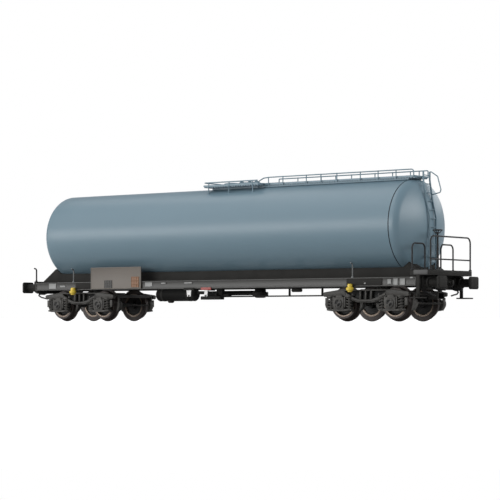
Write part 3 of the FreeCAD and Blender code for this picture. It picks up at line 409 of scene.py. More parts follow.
for x in (-2.2, 0.0, 2.2):
    rib = start(bpy.ops.mesh.primitive_cube_add, size=1, location=(x, frame_y - 0.1, (top + 7.2) / 2),
                scale=(0.45, 1.0, top - 7.4))
    pick(rib, lambda face: face.normal.z > 0.5)
    bpy.ops.transform.resize(value=(1.5, 1, 1), center_override=(x, 0, 0))
    ribs.append(shaped(rib, edge=0.08))
studs = []
for x, z in ((-8.0, top - 1.1), (8.0, top - 1.1), (-5.3, top - 1.6), (5.3, top - 1.6), (0, belly + 0.55)):
    studs.append(turned([(0, 0.34), (-0.25, 0.34), (-0.34, 0.2)], (x, frame_y - 0.35, z), "Y", sides=10))
side_pair = reflected(joined([frame_side, belly_bar, *ribs, *studs]), "Y")
for end, way in ENDS:
    sides = copied(side_pair, (way * pivot_x, 0, 0))
    settled(sides, f"side_frames_{end}", bogie_black)
    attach(sides, f"bogie_{end}")
    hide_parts(f"bogie_sides_{end}")
bpy.data.objects.remove(side_pair)

# ---- Axleboxes and springs ----
# Cast roller-bearing boxes with round screwed covers, each hung between two coil spring
# nests that stand on its wings and carry the side frame.


def towards(axis):
    """The direction of an axis that may have a minus sign."""
    return HEADING[axis.strip("-")] * (-1 if axis.startswith("-") else 1)


def boxed(size, place, edge=0.1, taper=1.0, axis="Z"):
    """A small casting: a block drawn in a little towards one face, its edges broken."""
    piece = start(bpy.ops.mesh.primitive_cube_add, size=1, location=place, scale=size)
    way = towards(axis)
    pick(piece, lambda face: face.normal.dot(way) > 0.5)
    grow = [1 if abs(part) > 0.5 else taper for part in way]
    bpy.ops.transform.resize(value=grow, center_override=place)
    return shaped(piece, edge=edge)


def coiled(place, radius, wire, height, turns):
    """A coil spring standing on a place."""
    piece = start(bpy.ops.mesh.primitive_circle_add, vertices=8, radius=wire, fill_type="NGON",
                  location=(radius, 0, 0), rotation=(pi / 2, 0, 0))
    bpy.ops.object.mode_set(mode="OBJECT")
    steps = int(16 * turns)
    modified(piece, "SCREW", axis="Z", angle=2 * pi * turns, screw_offset=height, steps=steps,
             render_steps=steps, use_merge_vertices=False)
    piece.location = place
    bpy.ops.object.transform_apply(location=True, rotation=True, scale=True)
    bpy.ops.object.mode_set(mode="EDIT")
    return shaped(piece)


low, high = span("axleboxes_right")
half_base = (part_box("wheelset_right_outer")[0][0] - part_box("wheelset_right_inner")[0][0]) * 500
seat_z, spring_top = low.z, 9.0
seat_y, box_y = frame_y - 0.35, low.y + 0.5
BOLT_RING, SPRING_OUT, LINK_OUT = 1.3, 3.75, 5.6
corner = [boxed((4.3, 2.0, 4.2), (half_base, box_y + 0.9, axle_z + 0.05), edge=0.35)]
corner.append(boxed((3.0, 1.7, 1.0), (half_base, box_y + 1.0, axle_z + 2.45), edge=0.25, taper=0.75))
corner.append(turned([(0, 1.62), (-0.3, 1.62), (-0.42, 1.5), (-0.46, 1.12), (-0.38, 0.95), (-0.52, 0.3)],
                     (half_base, box_y, axle_z), "Y", sides=28, edge=0.05))
for turn in (45, 135, 225, 315):
    x, z = half_base + BOLT_RING * cos(radians(turn)), axle_z + BOLT_RING * sin(radians(turn))
    corner.append(turned([(0, 0.22), (-0.55, 0.22), (-0.62, 0.12)], (x, box_y, z), "Y", sides=6))
for way in (-1, 1):
    x = half_base + way * SPRING_OUT
    corner.append(coiled((x, seat_y, seat_z + 0.75), 0.98, 0.24, 4.3, 4.5))
    corner.append(turned([(0, 0.5), (4.4, 0.5)], (x, seat_y, seat_z + 0.6), "Z", sides=10))
    corner.append(turned([(0, 1.25), (0.35, 1.3), (0.5, 1.1)], (x, seat_y, seat_z + 0.35), "Z", sides=18))
    corner.append(turned([(0, 1.1), (0.2, 1.32), (0.6, 1.3)], (x, seat_y, spring_top - 0.9), "Z", sides=18))
    corner.append(boxed((0.55, 1.9, 3.6), (half_base + way * 2.35, seat_y, axle_z + 0.5), edge=0.1))
wing = plate([(half_base - 5.0, seat_z + 0.25, seat_z + 0.7), (half_base - 3.0, seat_z, seat_z + 0.7),
              (half_base + 3.0, seat_z, seat_z + 0.7), (half_base + 5.0, seat_z + 0.25, seat_z + 0.7)], seat_y, 1.9)
corner.append(shaped(wing, edge=0.1))
corner.append(boxed((1.1, 0.4, 2.6), (half_base + LINK_OUT, seat_y, axle_z + 0.6), edge=0.08))
corners = reflected(reflected(joined(corner), "X"), "Y")
# The boxes and springs take the same warm grey on their ridges: dust and a painted edge highlight.
SPRING_BLACK = (0.006, 0.0058, 0.0055)
spring_black = moulded("spring_black", SPRING_BLACK, 0.34, DUST_AND_SHEEN_GREY, reach=0.55, shine=0.12)
for end, way in ENDS:
    boxes = copied(corners, (way * pivot_x, 0, 0))
    settled(boxes, f"axlebox_set_{end}", spring_black)
    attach(boxes, f"bogie_{end}")
    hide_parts(f"axleboxes_{end}")
bpy.data.objects.remove(corners)

# ---- Bogie bolsters ----
# A deep pressed bolster across the middle, bored for the pivot, and a round-nosed
# headstock across each end.

low, high = span("bogie_bolster_right")
bolster_half = high.y
bolster = start(bpy.ops.mesh.primitive_cube_add, size=1, location=(0, 0, 9.85),
                scale=(6.0, 2 * bolster_half, 2.1))
bpy.ops.mesh.subdivide(number_cuts=5)
pick(bolster, lambda face: face.normal.z < -0.5 and abs(middle(face).y) > 0.3 * bolster_half)
bpy.ops.transform.translate(value=(0, 0, 0.5))
shaped(bolster, edge=0.15)
BOWL_Z = 10.95
bowl = turned([(0, 2.0), (0, 2.75), (0.55, 2.75), (0.65, 2.65), (0.65, 2.0)], (0, 0, BOWL_Z), "Z",
              sides=32, edge=0.04)
headstocks = [
    boxed((0.9, 2 * bolster_half, 1.1), (way * (beak - 0.45), 0, 9.35), edge=0.15, taper=0.8, axis="-Z")
    for way in (-1, 1)
]
cross = joined([bolster, bowl, *headstocks])
for end, way in ENDS:
    cross_pieces = copied(cross, (way * pivot_x, 0, 0))
    settled(cross_pieces, f"bolster_{end}", bogie_black)
    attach(cross_pieces, f"bogie_{end}")
    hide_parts(f"bogie_bolster_{end}")
bpy.data.objects.remove(cross)

# ---- Clasp brakes ----
# A cast block on each side of every wheel, hung from the headstocks and the bolster and
# tied across the bogie by a bar.

BLOCK_AT, BLOCK_Y = flange + 0.5, 8.9
SHOE = (  # distance from the wheel's middle, foot, top: a shoe hollowed to the tread
    (6.14, -2.4, -2.3), (6.35, -2.4, -1.5), (6.5, -2.4, -0.9), (6.6, -2.35, 0.95), (7.0, -2.0, 1.15),
    (7.4, -1.4, 1.2), (7.65, -0.95, 0.7), (7.8, -0.4, 0.0),
)
brake_pieces = []
for way in (1, -1):
    stops = [(half_base + way * out, axle_z + foot, axle_z + top) for out, foot, top in SHOE[::way]]
    brake_pieces.append(shaped(plate(stops, -BLOCK_Y, 1.7), edge=0.08))
    arm_x = half_base + way * (BLOCK_AT + 0.45)
    brake_pieces.append(boxed((0.6, 0.7, 2.6), (arm_x, -BLOCK_Y - 0.4, axle_z + 1.6), edge=0.1, taper=0.8))
    brake_pieces.append(turned([(0, 0.36), (2 * BLOCK_Y, 0.36)], (arm_x, -BLOCK_Y, axle_z), "Y", sides=12))
brakes = reflected(reflected(joined(brake_pieces), "X"), "Y")
for end, way in ENDS:
    gear = copied(brakes, (way * pivot_x, 0, 0))
    settled(gear, f"clasp_brakes_{end}", bogie_black)
    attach(gear, f"bogie_{end}")
    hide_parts(f"brake_gear_{end}")
bpy.data.objects.remove(brakes)

# ---- Side sills ----
# Long pressed channels, open outwards, that carry the wagon's sides; sprayed a dark warm
# grey and bearing a row of small blank plates.


def rimmed(size, place, axis, rim, sunk, edge):
    """A block with the face towards an axis sunk inside a rim, or raised by a negative depth."""
    piece = start(bpy.ops.mesh.primitive_cube_add, size=1, location=place, scale=size)
    way = towards(axis)
    pick(piece, lambda face: face.normal.dot(way) > 0.5)
    bpy.ops.mesh.inset(thickness=rim)
    push(*(way * -sunk))
    return shaped(piece, edge=edge)


SILL_GREY, PALE = (0.037, 0.035, 0.031), (0.30, 0.30, 0.29)
sill_grey = sprayed("sill_grey", SILL_GREY, 0.42, drift=0.14, tooth=0.03)
plate_grey = sprayed("plate_grey", PALE, 0.5, drift=0.06)
low, high = span("side_sill_near")
sill_face, sill_foot, sill_top = -low.y, low.z, high.z
sill = rimmed((2 * high.x, 0.9, sill_top - sill_foot), (0, 0.45 - sill_face, (sill_foot + sill_top) / 2),
              "-Y", rim=0.32, sunk=0.28, edge=0.07)
far_sill = reflected(copied(sill), "Y")
bpy.ops.object.mode_set(mode="EDIT")
pick(far_sill, lambda vert: vert.co.y < 0, "verts")
bpy.ops.mesh.delete(type="VERT")
bpy.ops.object.mode_set(mode="OBJECT")
for side, channel in (("near", sill), ("far", far_sill)):
    settled(channel, f"sill_{side}", sill_grey)
    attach(channel, "wagon")
    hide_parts(f"side_sill_{side}")

PANEL_ROW = (  # left end, right end, foot, top of the small plates on the near sill
    (-78.8, -75.2, 12.3, 14.3), (-73.1, -70.5, 12.9, 13.5), (-30.8, -27.4, 12.7, 14.2),
    (74.6, 76.0, 12.5, 14.0), (76.9, 78.6, 12.1, 14.2), (79.5, 81.4, 12.1, 14.2),
)
panels = []
for left, right, foot, head in PANEL_ROW:
    panels.append(rimmed((right - left, 0.24, head - foot), ((left + right) / 2, 0.2 - sill_face, (foot + head) / 2),
                         "-Y", rim=0.1, sunk=0.04, edge=0.03))
STRIP_ROW = ((-21.9, 13.8, 2.0), (-10.4, 13.8, 3.4), (65.7, 12.75, 0.7), (84.1, 14.45, 1.1))
for x, z, wide in STRIP_ROW:
    panels.append(boxed((wide, 0.5, 0.45), (x, 0.15 - sill_face, z), edge=0.03))
sill_plates = settled(joined(panels), "sill_plates", plate_grey)
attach(sill_plates, "wagon")

# ---- Tank cradle ----
# Two deep plates along the frame, cut down under the barrel and swept up to its dished
# ends, with bent saddles between them; near-black moulded plastic.

# The lighter tone on the frame's ridges is dust and a painted edge highlight together.
FRAME_BLACK, FRAME_DUST_AND_SHEEN = (0.010, 0.0098, 0.009), (0.09, 0.086, 0.08)
frame_black = moulded("frame_black", FRAME_BLACK, 0.62, FRAME_DUST_AND_SHEEN, reach=0.35, shine=0.09)
low, high = span("cradle_webs")
web_face, web_thick, saddle_top = -low.y, 0.7, high.z
WEB_STATIONS = [  # place, foot, top along a web, with the sweep up to each end saddle
    (low.x, sill_top + 0.52, sill_top + 0.7), (-85.6, sill_top, sill_top + 1.6),
    (-83.4, sill_top, sill_top + 3.15), *[(place, sill_top, saddle_top - drop) for place, drop in (
        (-80.6, 0.1), (-80.0, 0.0), (-79.2, 0.75), (-78.0, 1.6), (-76.4, 1.9), (76.4, 1.9), (77.6, 1.6),
        (78.6, 0.75), (79.3, 0.1), (79.7, 0.2), (80.3, 1.1), (81.8, 1.8), (high.x, 2.6))],
]
webs = reflected(shaped(plate(WEB_STATIONS, 0.35 - web_face, web_thick), edge=0.08), "Y")
settled(webs, "cradle_plates", frame_black)
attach(webs, "wagon")
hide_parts("cradle_webs")

SADDLE_SPACING, END_SADDLE_X, PLATFORM_DROP = 18.0, 80.4, 0.9
HOLLOW = ((7.5, 0), (5.2, 0), (4.0, 0.4), (2.7, 0.75), (1.5, 1.0))  # distance from the middle, drop
places = [step * (web_face - web_thick) / 6 for step in range(-6, 7)]
under_barrel = [(y, sill_top, axis_z - sqrt((radius + 0.02) ** 2 - y ** 2)) for y in places]
saddles = [shaped(plate(under_barrel, number * SADDLE_SPACING, 1.0, "Y"), edge=0.06) for number in range(-3, 4)]
for way in (-1, 1):
    stops = [(-y, sill_top, saddle_top - drop - (PLATFORM_DROP if way > 0 else 0)) for y, drop in HOLLOW]
    stops += [(-y, foot, top) for y, foot, top in reversed(stops)]
    saddles.append(shaped(plate(stops, way * END_SADDLE_X, web_thick, "Y"), edge=0.08))
seats = settled(joined(saddles), "saddles", frame_black)
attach(seats, "wagon")
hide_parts("cradle_saddles")

# ---- Sill shade plates ----
# Two thin plates in the frame's black laid on the near sill over the bogies: painted shade,
# a dark sheet where the sill shows only shadow there.

SHADE_PLATE_SPOTS = ((65.3, 14.2), (-61.5, 7.4))  # middle, length
# Painted shade: near-black sheets on the sill face over each bogie.
shade_plates = [boxed((wide, 0.2, 2.2), (x, 0.2 - sill_face, 13.2), edge=0.03) for x, wide in SHADE_PLATE_SPOTS]
shade_plate_pair = settled(joined(shade_plates), "sill_shade_plates", frame_black)
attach(shade_plate_pair, "wagon")

# ---- Buffer beams ----
# A stout plate across each end with its lower corners cut, drilled for the coupling gear
# and stiffened behind; near-black plastic.

low, high = span("buffer_beams")
beam_half, beam_top, beam_face = high.y, high.z, high.x
BUFFER_Y, BOLT_Z, BEAM_CUT = 10.06, 12.9, 1.4
beam_stations = [(-beam_half, low.z + BEAM_CUT, beam_top), (BEAM_CUT - beam_half, low.z, beam_top),
                 (beam_half - BEAM_CUT, low.z, beam_top), (beam_half, low.z + BEAM_CUT, beam_top)]
beams = []
for way in (-1, 1):
    beam = plate(beam_stations, way * (beam_face - 0.6), 1.2, "Y")
    pick(beam, lambda face: face.normal.x * way > 0.5)
    bpy.ops.mesh.inset(thickness=0.35)
    push(x=-0.08 * way)
    beams.append(shaped(beam, edge=0.08))
    for y in (-BUFFER_Y, BUFFER_Y):
        for side_y, up in ((-1.9, -1.8), (1.9, -1.8), (-1.9, 1.8), (1.9, 1.8)):
            beams.append(turned([(0, 0.26), (way * 0.62, 0.26), (way * 0.7, 0.16)],
                                (way * beam_face, y + side_y, BOLT_Z + up), "X", sides=6))
headstock = settled(joined(beams), "end_beams", frame_black)
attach(headstock, "wagon")
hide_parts("buffer_beams")

# ---- Buffers ----
# Sprung buffers: a flanged foot on four bolts, a stepped sleeve and plunger, and a wide
# rectangular head with its corners cut and its face slightly crowned.

low, high = span("buffers_right")
buffer_z, reach = (low.z + high.z) / 2, high.x - beam_face
head_half, head_tall = (high.y - BUFFER_Y), (high.z - low.z) / 2
foot = boxed((0.5, 4.4, 4.2), (0.25, 0, 0), edge=0.12, taper=0.96, axis="X")
sleeve = turned([(0.3, 1.95), (0.9, 1.85), (1.5, 1.8), (1.55, 1.94), (2.05, 1.94), (2.15, 1.8), (2.15, 1.5)],
                (0, 0, 0), "X", sides=36, edge=0.05)
plunger = turned([(2.0, 1.42), (reach - 1.0, 1.42), (reach - 0.75, 1.7), (reach - 0.5, 1.7)], (0, 0, 0), "X",
                 sides=32, edge=0.05)
head_stations = [(place, cut - head_tall, head_tall - cut) for place, cut in (
    (-head_half, 0.6), (-head_half + 0.25, 0.22), (-head_half + 0.65, 0), (0, 0), (head_half - 0.65, 0),
    (head_half - 0.25, 0.22), (head_half, 0.6))]
head = plate(head_stations, reach - 0.4, 0.7, "Y")
pick(head, lambda face: face.normal.x > 0.5)
bpy.ops.mesh.inset(thickness=0.5)
push(x=0.05)
shaped(head, edge=0.08)
buffer = joined([foot, sleeve, plunger, head])


def on_beam(piece, way, y, z):
    """A copy on the buffer beam of one end, facing away from the wagon."""
    return copied(piece, (way * beam_face, y, z), 0 if way > 0 else pi)


for end, way in ENDS:
    pair = joined([on_beam(buffer, way, y, buffer_z) for y in (-BUFFER_Y, BUFFER_Y)])
    settled(pair, f"buffer_pair_{end}", frame_black)
    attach(pair, "wagon")
    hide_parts(f"buffers_{end}")
bpy.data.objects.remove(buffer)

# ---- Brake hoses and draw hooks ----
# Stiff black mouldings: on each side a hose that sticks out from its tap, a thinner one bent
# in under the beam, and between them a forged hook through a bolted plate.


def bent(points, bend, radius=0.275, sides=10, flat=None):
    """A bar or hose bent round its corners, drawn out along its run."""
    points = [Vector(point) for point in points]
    heading = (points[1] - points[0]).normalized()
    piece = start(bpy.ops.mesh.primitive_circle_add, vertices=sides, radius=radius, fill_type="NOTHING",
                  location=points[0], rotation=heading.to_track_quat("Z", "Y").to_euler())
    bpy.ops.mesh.select_mode(type="EDGE")
    bpy.ops.mesh.select_all(action="SELECT")
    if flat:
        bpy.ops.transform.resize(value=flat, center_override=points[0])
    here = points[0]
    for corner, after in zip(points[1:-1], points[2:]):
        onward = (after - corner).normalized()
        turn = heading.angle(onward)
        room = 0.45 * min((corner - here).length, (after - corner).length)
        back = min(bend * sin(turn / 2) / cos(turn / 2), room)
        stop = corner - heading * back
        push(*(stop - here))
        axis = heading.cross(onward).normalized()
        centre = stop + axis.cross(heading) * back * cos(turn / 2) / sin(turn / 2)
        bpy.ops.mesh.spin(steps=max(3, int(turn * 5)), angle=-turn, center=centre, axis=axis)
        here, heading = corner + onward * back, onward
    push(*(points[-1] - here))
    bpy.ops.mesh.select_all(action="SELECT")
    bpy.ops.mesh.fill_holes(sides=0)
    return shaped(piece)


# The lighter tone on the hoses' ridges is wear and a painted edge highlight together.
HOSE_BLACK, HOSE_WEAR_AND_SHEEN = (0.012, 0.012, 0.012), (0.05, 0.05, 0.05)
hose_black = moulded("hose_black", HOSE_BLACK, 0.5, HOSE_WEAR_AND_SHEEN, reach=0.3)
hose_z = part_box("buffer_beams")[0][2] * 1000 + 0.9
HOSE_Y = -5.4
OUTWARD_RUN = ((0.3, 0), (0.6, 0), (1.1, -0.6), (2.2, -1.0), (5.0, -0.9))  # out from the beam, up
INWARD_RUN = ((-0.4, -11.0, -0.85), (-0.4, -11.0, -1.3), (0.4, -10.4, -1.65), (1.0, -8.4, -2.3), (0.9, -5.0, -2.9))
tap = turned([(0, 0.62), (0.35, 0.62), (0.45, 0.5), (0.55, 0.5)], (0, HOSE_Y, 0), "X", sides=14, edge=0.04)
outward = bent([(x, HOSE_Y, z) for x, z in OUTWARD_RUN], 0.8, 0.36, 12)
ferrule = turned([(4.5, 0.36), (4.55, 0.44), (4.95, 0.44), (5.0, 0.3)], (0, HOSE_Y, -0.9), "X", sides=12, edge=0.03)
both_hoses = reflected(joined([tap, outward, ferrule, bent(INWARD_RUN, 1.0, 0.27, 8)]), "Y")
hose_set = joined([on_beam(both_hoses, way, 0, hose_z) for way in (-1, 1)])
settled(hose_set, "air_hoses", hose_black)
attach(hose_set, "wagon")
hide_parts("brake_hoses")
bpy.data.objects.remove(both_hoses)

HOOK = [(0.2, -0.6, 0.7), (1.6, -0.55, 0.65), (2.5, -0.7, 0.65), (3.0, -1.3, 0.3), (3.4, -1.5, -0.25),
        (4.0, -1.5, -0.2), (4.4, -1.2, 0.6), (4.78, -0.6, 0.9)]
hook_plate = rimmed((0.5, 3.0, 2.6), (0.25, 0, 0), "X", rim=0.3, sunk=-0.1, edge=0.1)
draw_hook = joined([hook_plate, shaped(plate(HOOK, 0, 0.9), edge=0.22)])
hooks = joined([on_beam(draw_hook, way, 0, buffer_z) for way in (-1, 1)])
settled(hooks, "hooks", frame_black)
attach(hooks, "wagon")
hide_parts("draw_hooks")
bpy.data.objects.remove(draw_hook)

# ---- Frame members left as packed ----
# Centre sill, cross members, pivot pins and coupling pockets: plain mouldings inside the
# frame, whose own shapes serve, in the same near-black plastic.

for node in ("centre_sill", "cross_members", "pivot_pins", "coupling_pockets"):
    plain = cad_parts[node]
    plain.data.materials.clear()
    plain.data.materials.append(frame_black)

# ---- Brakeman's platform ----
# A pressed tray with an open grid floor, carried on the end of the frame for whoever works
# the handbrake; black on top with a dulled grey edge.


def grating(low, high, pitch, bar, deep):
    """An open grid between two corners: a fine lattice whose cells are sunk one by one."""
    size = [high[0] - low[0], high[1] - low[1]]
    counts = [max(2, round(part / pitch)) for part in size]
    spot = ((low[0] + high[0]) / 2, (low[1] + high[1]) / 2, high[2])
    piece = start(bpy.ops.mesh.primitive_grid_add, x_subdivisions=counts[0], y_subdivisions=counts[1], size=1,
                  location=spot)
    bpy.ops.mesh.select_all(action="SELECT")
    bpy.ops.transform.resize(value=(size[0], size[1], 1), center_override=spot)
    bpy.ops.mesh.inset(thickness=bar / 2, use_individual=True)
    push(z=-deep)
    mesh = bmesh.from_edit_mesh(piece.data)
    for edge in mesh.edges:
        edge.select_set(edge.is_boundary)
    bmesh.update_edit_mesh(piece.data)
    bpy.ops.mesh.select_mode(type="EDGE")
    push(z=low[2] - high[2])
    bpy.ops.mesh.edge_face_add()
    return shaped(piece, angle=30)


low, high = span("platform_deck")
deck_mid, deck_half = (low.x + high.x) / 2, high.y
tray = start(bpy.ops.mesh.primitive_cube_add, size=1, location=(deck_mid, 0, (low.z + high.z) / 2 - 0.06),
             scale=(high.x - low.x, 2 * deck_half, high.z - low.z - 0.12))
pick(tray, lambda face: face.normal.z < -0.5)
bpy.ops.mesh.inset(thickness=0.5)
push(z=1.0)
pick(tray, lambda face: face.normal.z > 0.5 and middle(face).z > high.z - 0.5)
bpy.ops.mesh.inset(thickness=0.3)
push(z=-0.12)
shaped(tray, edge=0.09)
floor_grid = grating((low.x + 0.3, 0.3 - deck_half, high.z - 0.32),
                     (high.x - 0.3, deck_half - 0.3, high.z - 0.03), 0.95, 0.3, 0.16)
cross_ribs = [boxed((high.x - low.x - 1.0, 0.45, 0.9), (deck_mid, y, high.z - 1.1), edge=0.05, taper=0.7, axis="-Z")
              for y in (-8.0, -3.0, 3.0, 8.0)]
DULL_GREY, STRIP_X, STRIP_Z = (0.060, 0.059, 0.056), 87.1, 16.2
dull_edge = sprayed("dull_edge", DULL_GREY, 0.5, drift=0.1)
for side, way in (("near", -1), ("far", 1)):
    edge_strip = boxed((5.4, 0.1, 1.5), (STRIP_X, way * deck_half, STRIP_Z), edge=0.03)
    settled(edge_strip, f"deck_edge_{side}", dull_edge)
    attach(edge_strip, "wagon")
deck = settled(joined([tray, floor_grid, *cross_ribs]), "deck", frame_black)
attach(deck, "wagon")
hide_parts("platform_deck")

# ---- Platform rails ----
# Round-cornered hoops of thin bar: a wide one with a middle bar across the outer edge, and
# a small one at each side of the ladder; black.

RAIL, MIDDLE_BAR_Z, HOOP_IN = 0.27, 20.5, 5.0
RAIL_FOOT = [(0, 0.5), (0.35, 0.5), (0.45, 0.3)]
# The lighter tone on the rails' ridges is wear and a painted edge highlight together.
RAIL_BLACK, RAIL_WEAR_AND_SHEEN = (0.014, 0.014, 0.015), (0.08, 0.08, 0.08)
rail_black = moulded("rail_black", RAIL_BLACK, 0.38, RAIL_WEAR_AND_SHEEN, reach=0.3)
deck_top = high.z
low, high = span("platform_end_rail")
rail_x, rail_top, rail_half = (low.x + high.x) / 2, high.z - RAIL, high.y - RAIL
across = [(rail_x, -rail_half, deck_top - 0.1), (rail_x, -rail_half, rail_top), (rail_x, rail_half, rail_top),
          (rail_x, rail_half, deck_top - 0.1)]
end_rail = [bent(across, 1.9, RAIL, 12),
            bent([(rail_x, y, MIDDLE_BAR_Z) for y in (-rail_half, rail_half)], 0, RAIL * 0.9, 10)]
for y in (-rail_half, rail_half):
    end_rail.append(turned(RAIL_FOOT, (rail_x, y, deck_top - 0.05), "Z", sides=12))
end_hoop = settled(joined(end_rail), "end_rail", rail_black)
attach(end_hoop, "wagon")
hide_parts("platform_end_rail")

low, high = span("platform_side_hoops")
hoop_x, hoop_top, hoop_out = (low.x + high.x) / 2, high.z - RAIL, high.y - RAIL
hoop = [bent([(hoop_x, -hoop_out, deck_top - 0.1), (hoop_x, -hoop_out, hoop_top), (hoop_x, -HOOP_IN, hoop_top),
              (hoop_x, -HOOP_IN, deck_top - 0.1)], 1.7, RAIL, 12)]
for y in (-hoop_out, -HOOP_IN):
    hoop.append(turned(RAIL_FOOT, (hoop_x, y, deck_top - 0.05), "Z", sides=12))
hoops = settled(reflected(joined(hoop), "Y"), "side_hoops", rail_black)
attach(hoops, "wagon")
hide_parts("platform_side_hoops")

# ---- Handbrake ----
# A column on a bolted foot with a dished, four-spoked handwheel, turned by hand from the
# platform; black.

low, high = span("handbrake_stand")
brake_x, brake_y = (low.x + high.x) / 2, (low.y + high.y) / 2
wheel_r, wheel_z, RIM_IN = (high.x - low.x) / 2, high.z - 0.3, 0.25
COLUMN = [(0, 0.8), (0.3, 0.8), (0.4, 0.48), (4.0, 0.44), (7.0, 0.38), (12.0, 0.3), (12.2, 0.5), (12.5, 0.5),
          (12.75, 0.25)]
column = turned(COLUMN, (brake_x, brake_y, deck_top - 0.02), "Z", sides=16, edge=0.03)
rim = start(bpy.ops.mesh.primitive_circle_add, vertices=10, radius=0.17, fill_type="NOTHING",
            location=(brake_x + wheel_r - RIM_IN, brake_y, wheel_z), rotation=(pi / 2, 0, 0))
bpy.ops.mesh.select_mode(type="EDGE")
bpy.ops.mesh.select_all(action="SELECT")
bpy.ops.mesh.spin(steps=40, angle=2 * pi, center=(brake_x, brake_y, wheel_z), axis=(0, 0, 1))
shaped(rim)
hub = Vector((brake_x, brake_y, deck_top + 12.35))
lift = Vector((0, 0, wheel_z - hub.z))
spokes = []
for step in range(4):
    turn = step * pi / 2 + pi / 4
    spot = Vector((cos(turn), sin(turn), 0))
    spokes.append(bent([hub, hub + spot * 0.7, hub + spot * (wheel_r - RIM_IN) + lift], 0.5, 0.16, 8))
foot = boxed((1.9, 1.9, 0.5), (brake_x, brake_y, deck_top + 0.2), edge=0.12, taper=0.9)
handbrake = settled(joined([column, rim, foot, *spokes]), "handbrake", rail_black)
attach(handbrake, "wagon")
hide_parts("handbrake_stand")

# ---- Platform steps ----
# A hanging stirrup on each side for climbing to the platform: a flat hanger, a thin sunk
# tread and a small gusset between them, folded from strip; near-black.

low, high = span("platform_steps")
step_x, step_y, step_foot = (low.x + high.x) / 2, high.y - 1.9, low.z
HANGER_Y, HANGER_TOP = -13.65, 15.2
hanger = boxed((1.2, 0.45, HANGER_TOP - step_foot), (step_x - 0.6, HANGER_Y, (HANGER_TOP + step_foot) / 2), edge=0.08)
tread = rimmed((4.4, 3.8, 0.42), (step_x, -step_y, step_foot + 0.23), "Z", rim=0.2, sunk=0.12, edge=0.06)
gusset = boxed((0.5, 1.0, 1.2), (step_x - 0.6, -14.1, step_foot + 0.9), edge=0.06, taper=0.4)
steps = settled(reflected(joined([hanger, tread, gusset]), "Y"), "steps", frame_black)
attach(steps, "wagon")
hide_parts("platform_steps")

# ---- End ladder ----
# Two bent stiles up the dished end with thin rungs, and a hand loop on the far one to
# swing round to the roof; sprayed as the tank.

low, high = span("end_ladder")
ladder_half, ladder_foot, ladder_top, RUNG_STEP = 2.0, low.z, high.z, 2.9
STILE_RUN = ((83.6, ladder_foot), (83.6, 34.96), (82.2, 40.76), (81.2, 47.46), (81.2, ladder_top))
stiles = [bent([(x, y, z) for x, z in STILE_RUN], 3.0, 0.34, 12, flat=(1.0, 0.6, 1.0))
          for y in (-ladder_half, ladder_half)]


def stile_x(z):
    """The stiles' distance from the middle of the wagon at a height."""
    for (x, foot), (next_x, top) in zip(STILE_RUN, STILE_RUN[1:]):
        if z <= top:
            return x + (next_x - x) * (z - foot) / (top - foot)
    return STILE_RUN[-1][0]


rungs = []
for step in range(1, 12):
    z = ladder_foot + RUNG_STEP * step
    if z < ladder_top:
        rungs.append(bent([(stile_x(z), -ladder_half, z), (stile_x(z), ladder_half, z)], 0, 0.17, 8))
LOOP_RUN = ((0, -0.1), (0.6, -0.1), (3.1, -1.7), (4.4, -6.2), (4.1, -7.1), (0.7, -7.8))
loop = bent([(STILE_RUN[-1][0] + x, ladder_half, ladder_top + z) for x, z in LOOP_RUN], 0.8, 0.19, 10)
stays = [bent([(stile_x(z), y, z), (stile_x(z) - reach_in, y, z)], 0, 0.2, 8)
         for y in (-ladder_half, ladder_half) for z, reach_in in ((21.5, 3.2), (41.0, 1.4))]
ladder = settled(joined([*stiles, *rungs, loop, *stays]), "ladder", tank_paint)
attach(ladder, "wagon")
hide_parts("end_ladder")

# ---- Roof walkway ----
# A long open-grid gangway bolted to two bearers along the top of the barrel, for whoever
# tends the valves; moulded in one and sprayed as the tank.

low, high = span("roof_walkway")
walk_start, walk_end, walk_half = low.x, high.x, high.y
walk_top, walk_foot = high.z, high.z - 0.6
gangway = grating((walk_start, -walk_half, walk_foot), (walk_end, walk_half, walk_top), 1.05, 0.34, 0.34)


def on_barrel(y):
    """The height of the barrel's top at a distance from the middle."""
    return axis_z + sqrt(radius ** 2 - y ** 2)


BEARER_Y, BEARER_WIDE, END_PLATE_X = 3.55, 0.7, 76.4


def bearer(left, right, top):
    """A bearer between the barrel and a roof plate: a bar whose outer side is sunk a little."""
    foot = on_barrel(BEARER_Y - BEARER_WIDE / 2) + 0.01
    return rimmed((right - left, BEARER_WIDE, top - foot), ((left + right) / 2, -BEARER_Y, (foot + top) / 2),
                  "-Y", rim=0.14, sunk=0.08, edge=0.04)


straps = [boxed((0.5, 7.8, 0.9), (END_PLATE_X, 0, walk_foot - 0.35), edge=0.05)]
for x in (walk_start + 0.35, 34.0, 49.0, 64.0):
    straps.append(boxed((0.7, 2 * walk_half, 0.3), (x, 0, walk_foot + 0.16), edge=0.05, taper=0.9, axis="-Z"))
bearers = reflected(bearer(walk_start, END_PLATE_X + 0.2, walk_foot + 0.05), "Y")
walkway = settled(joined([gangway, bearers, *straps]), "walkway", tank_paint)
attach(walkway, "wagon")
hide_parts("roof_walkway")

# ---- Walkway rails ----
# A low rail of thin bar down each edge of the gangway, on short posts that stand on little
# cast feet; the same grey.

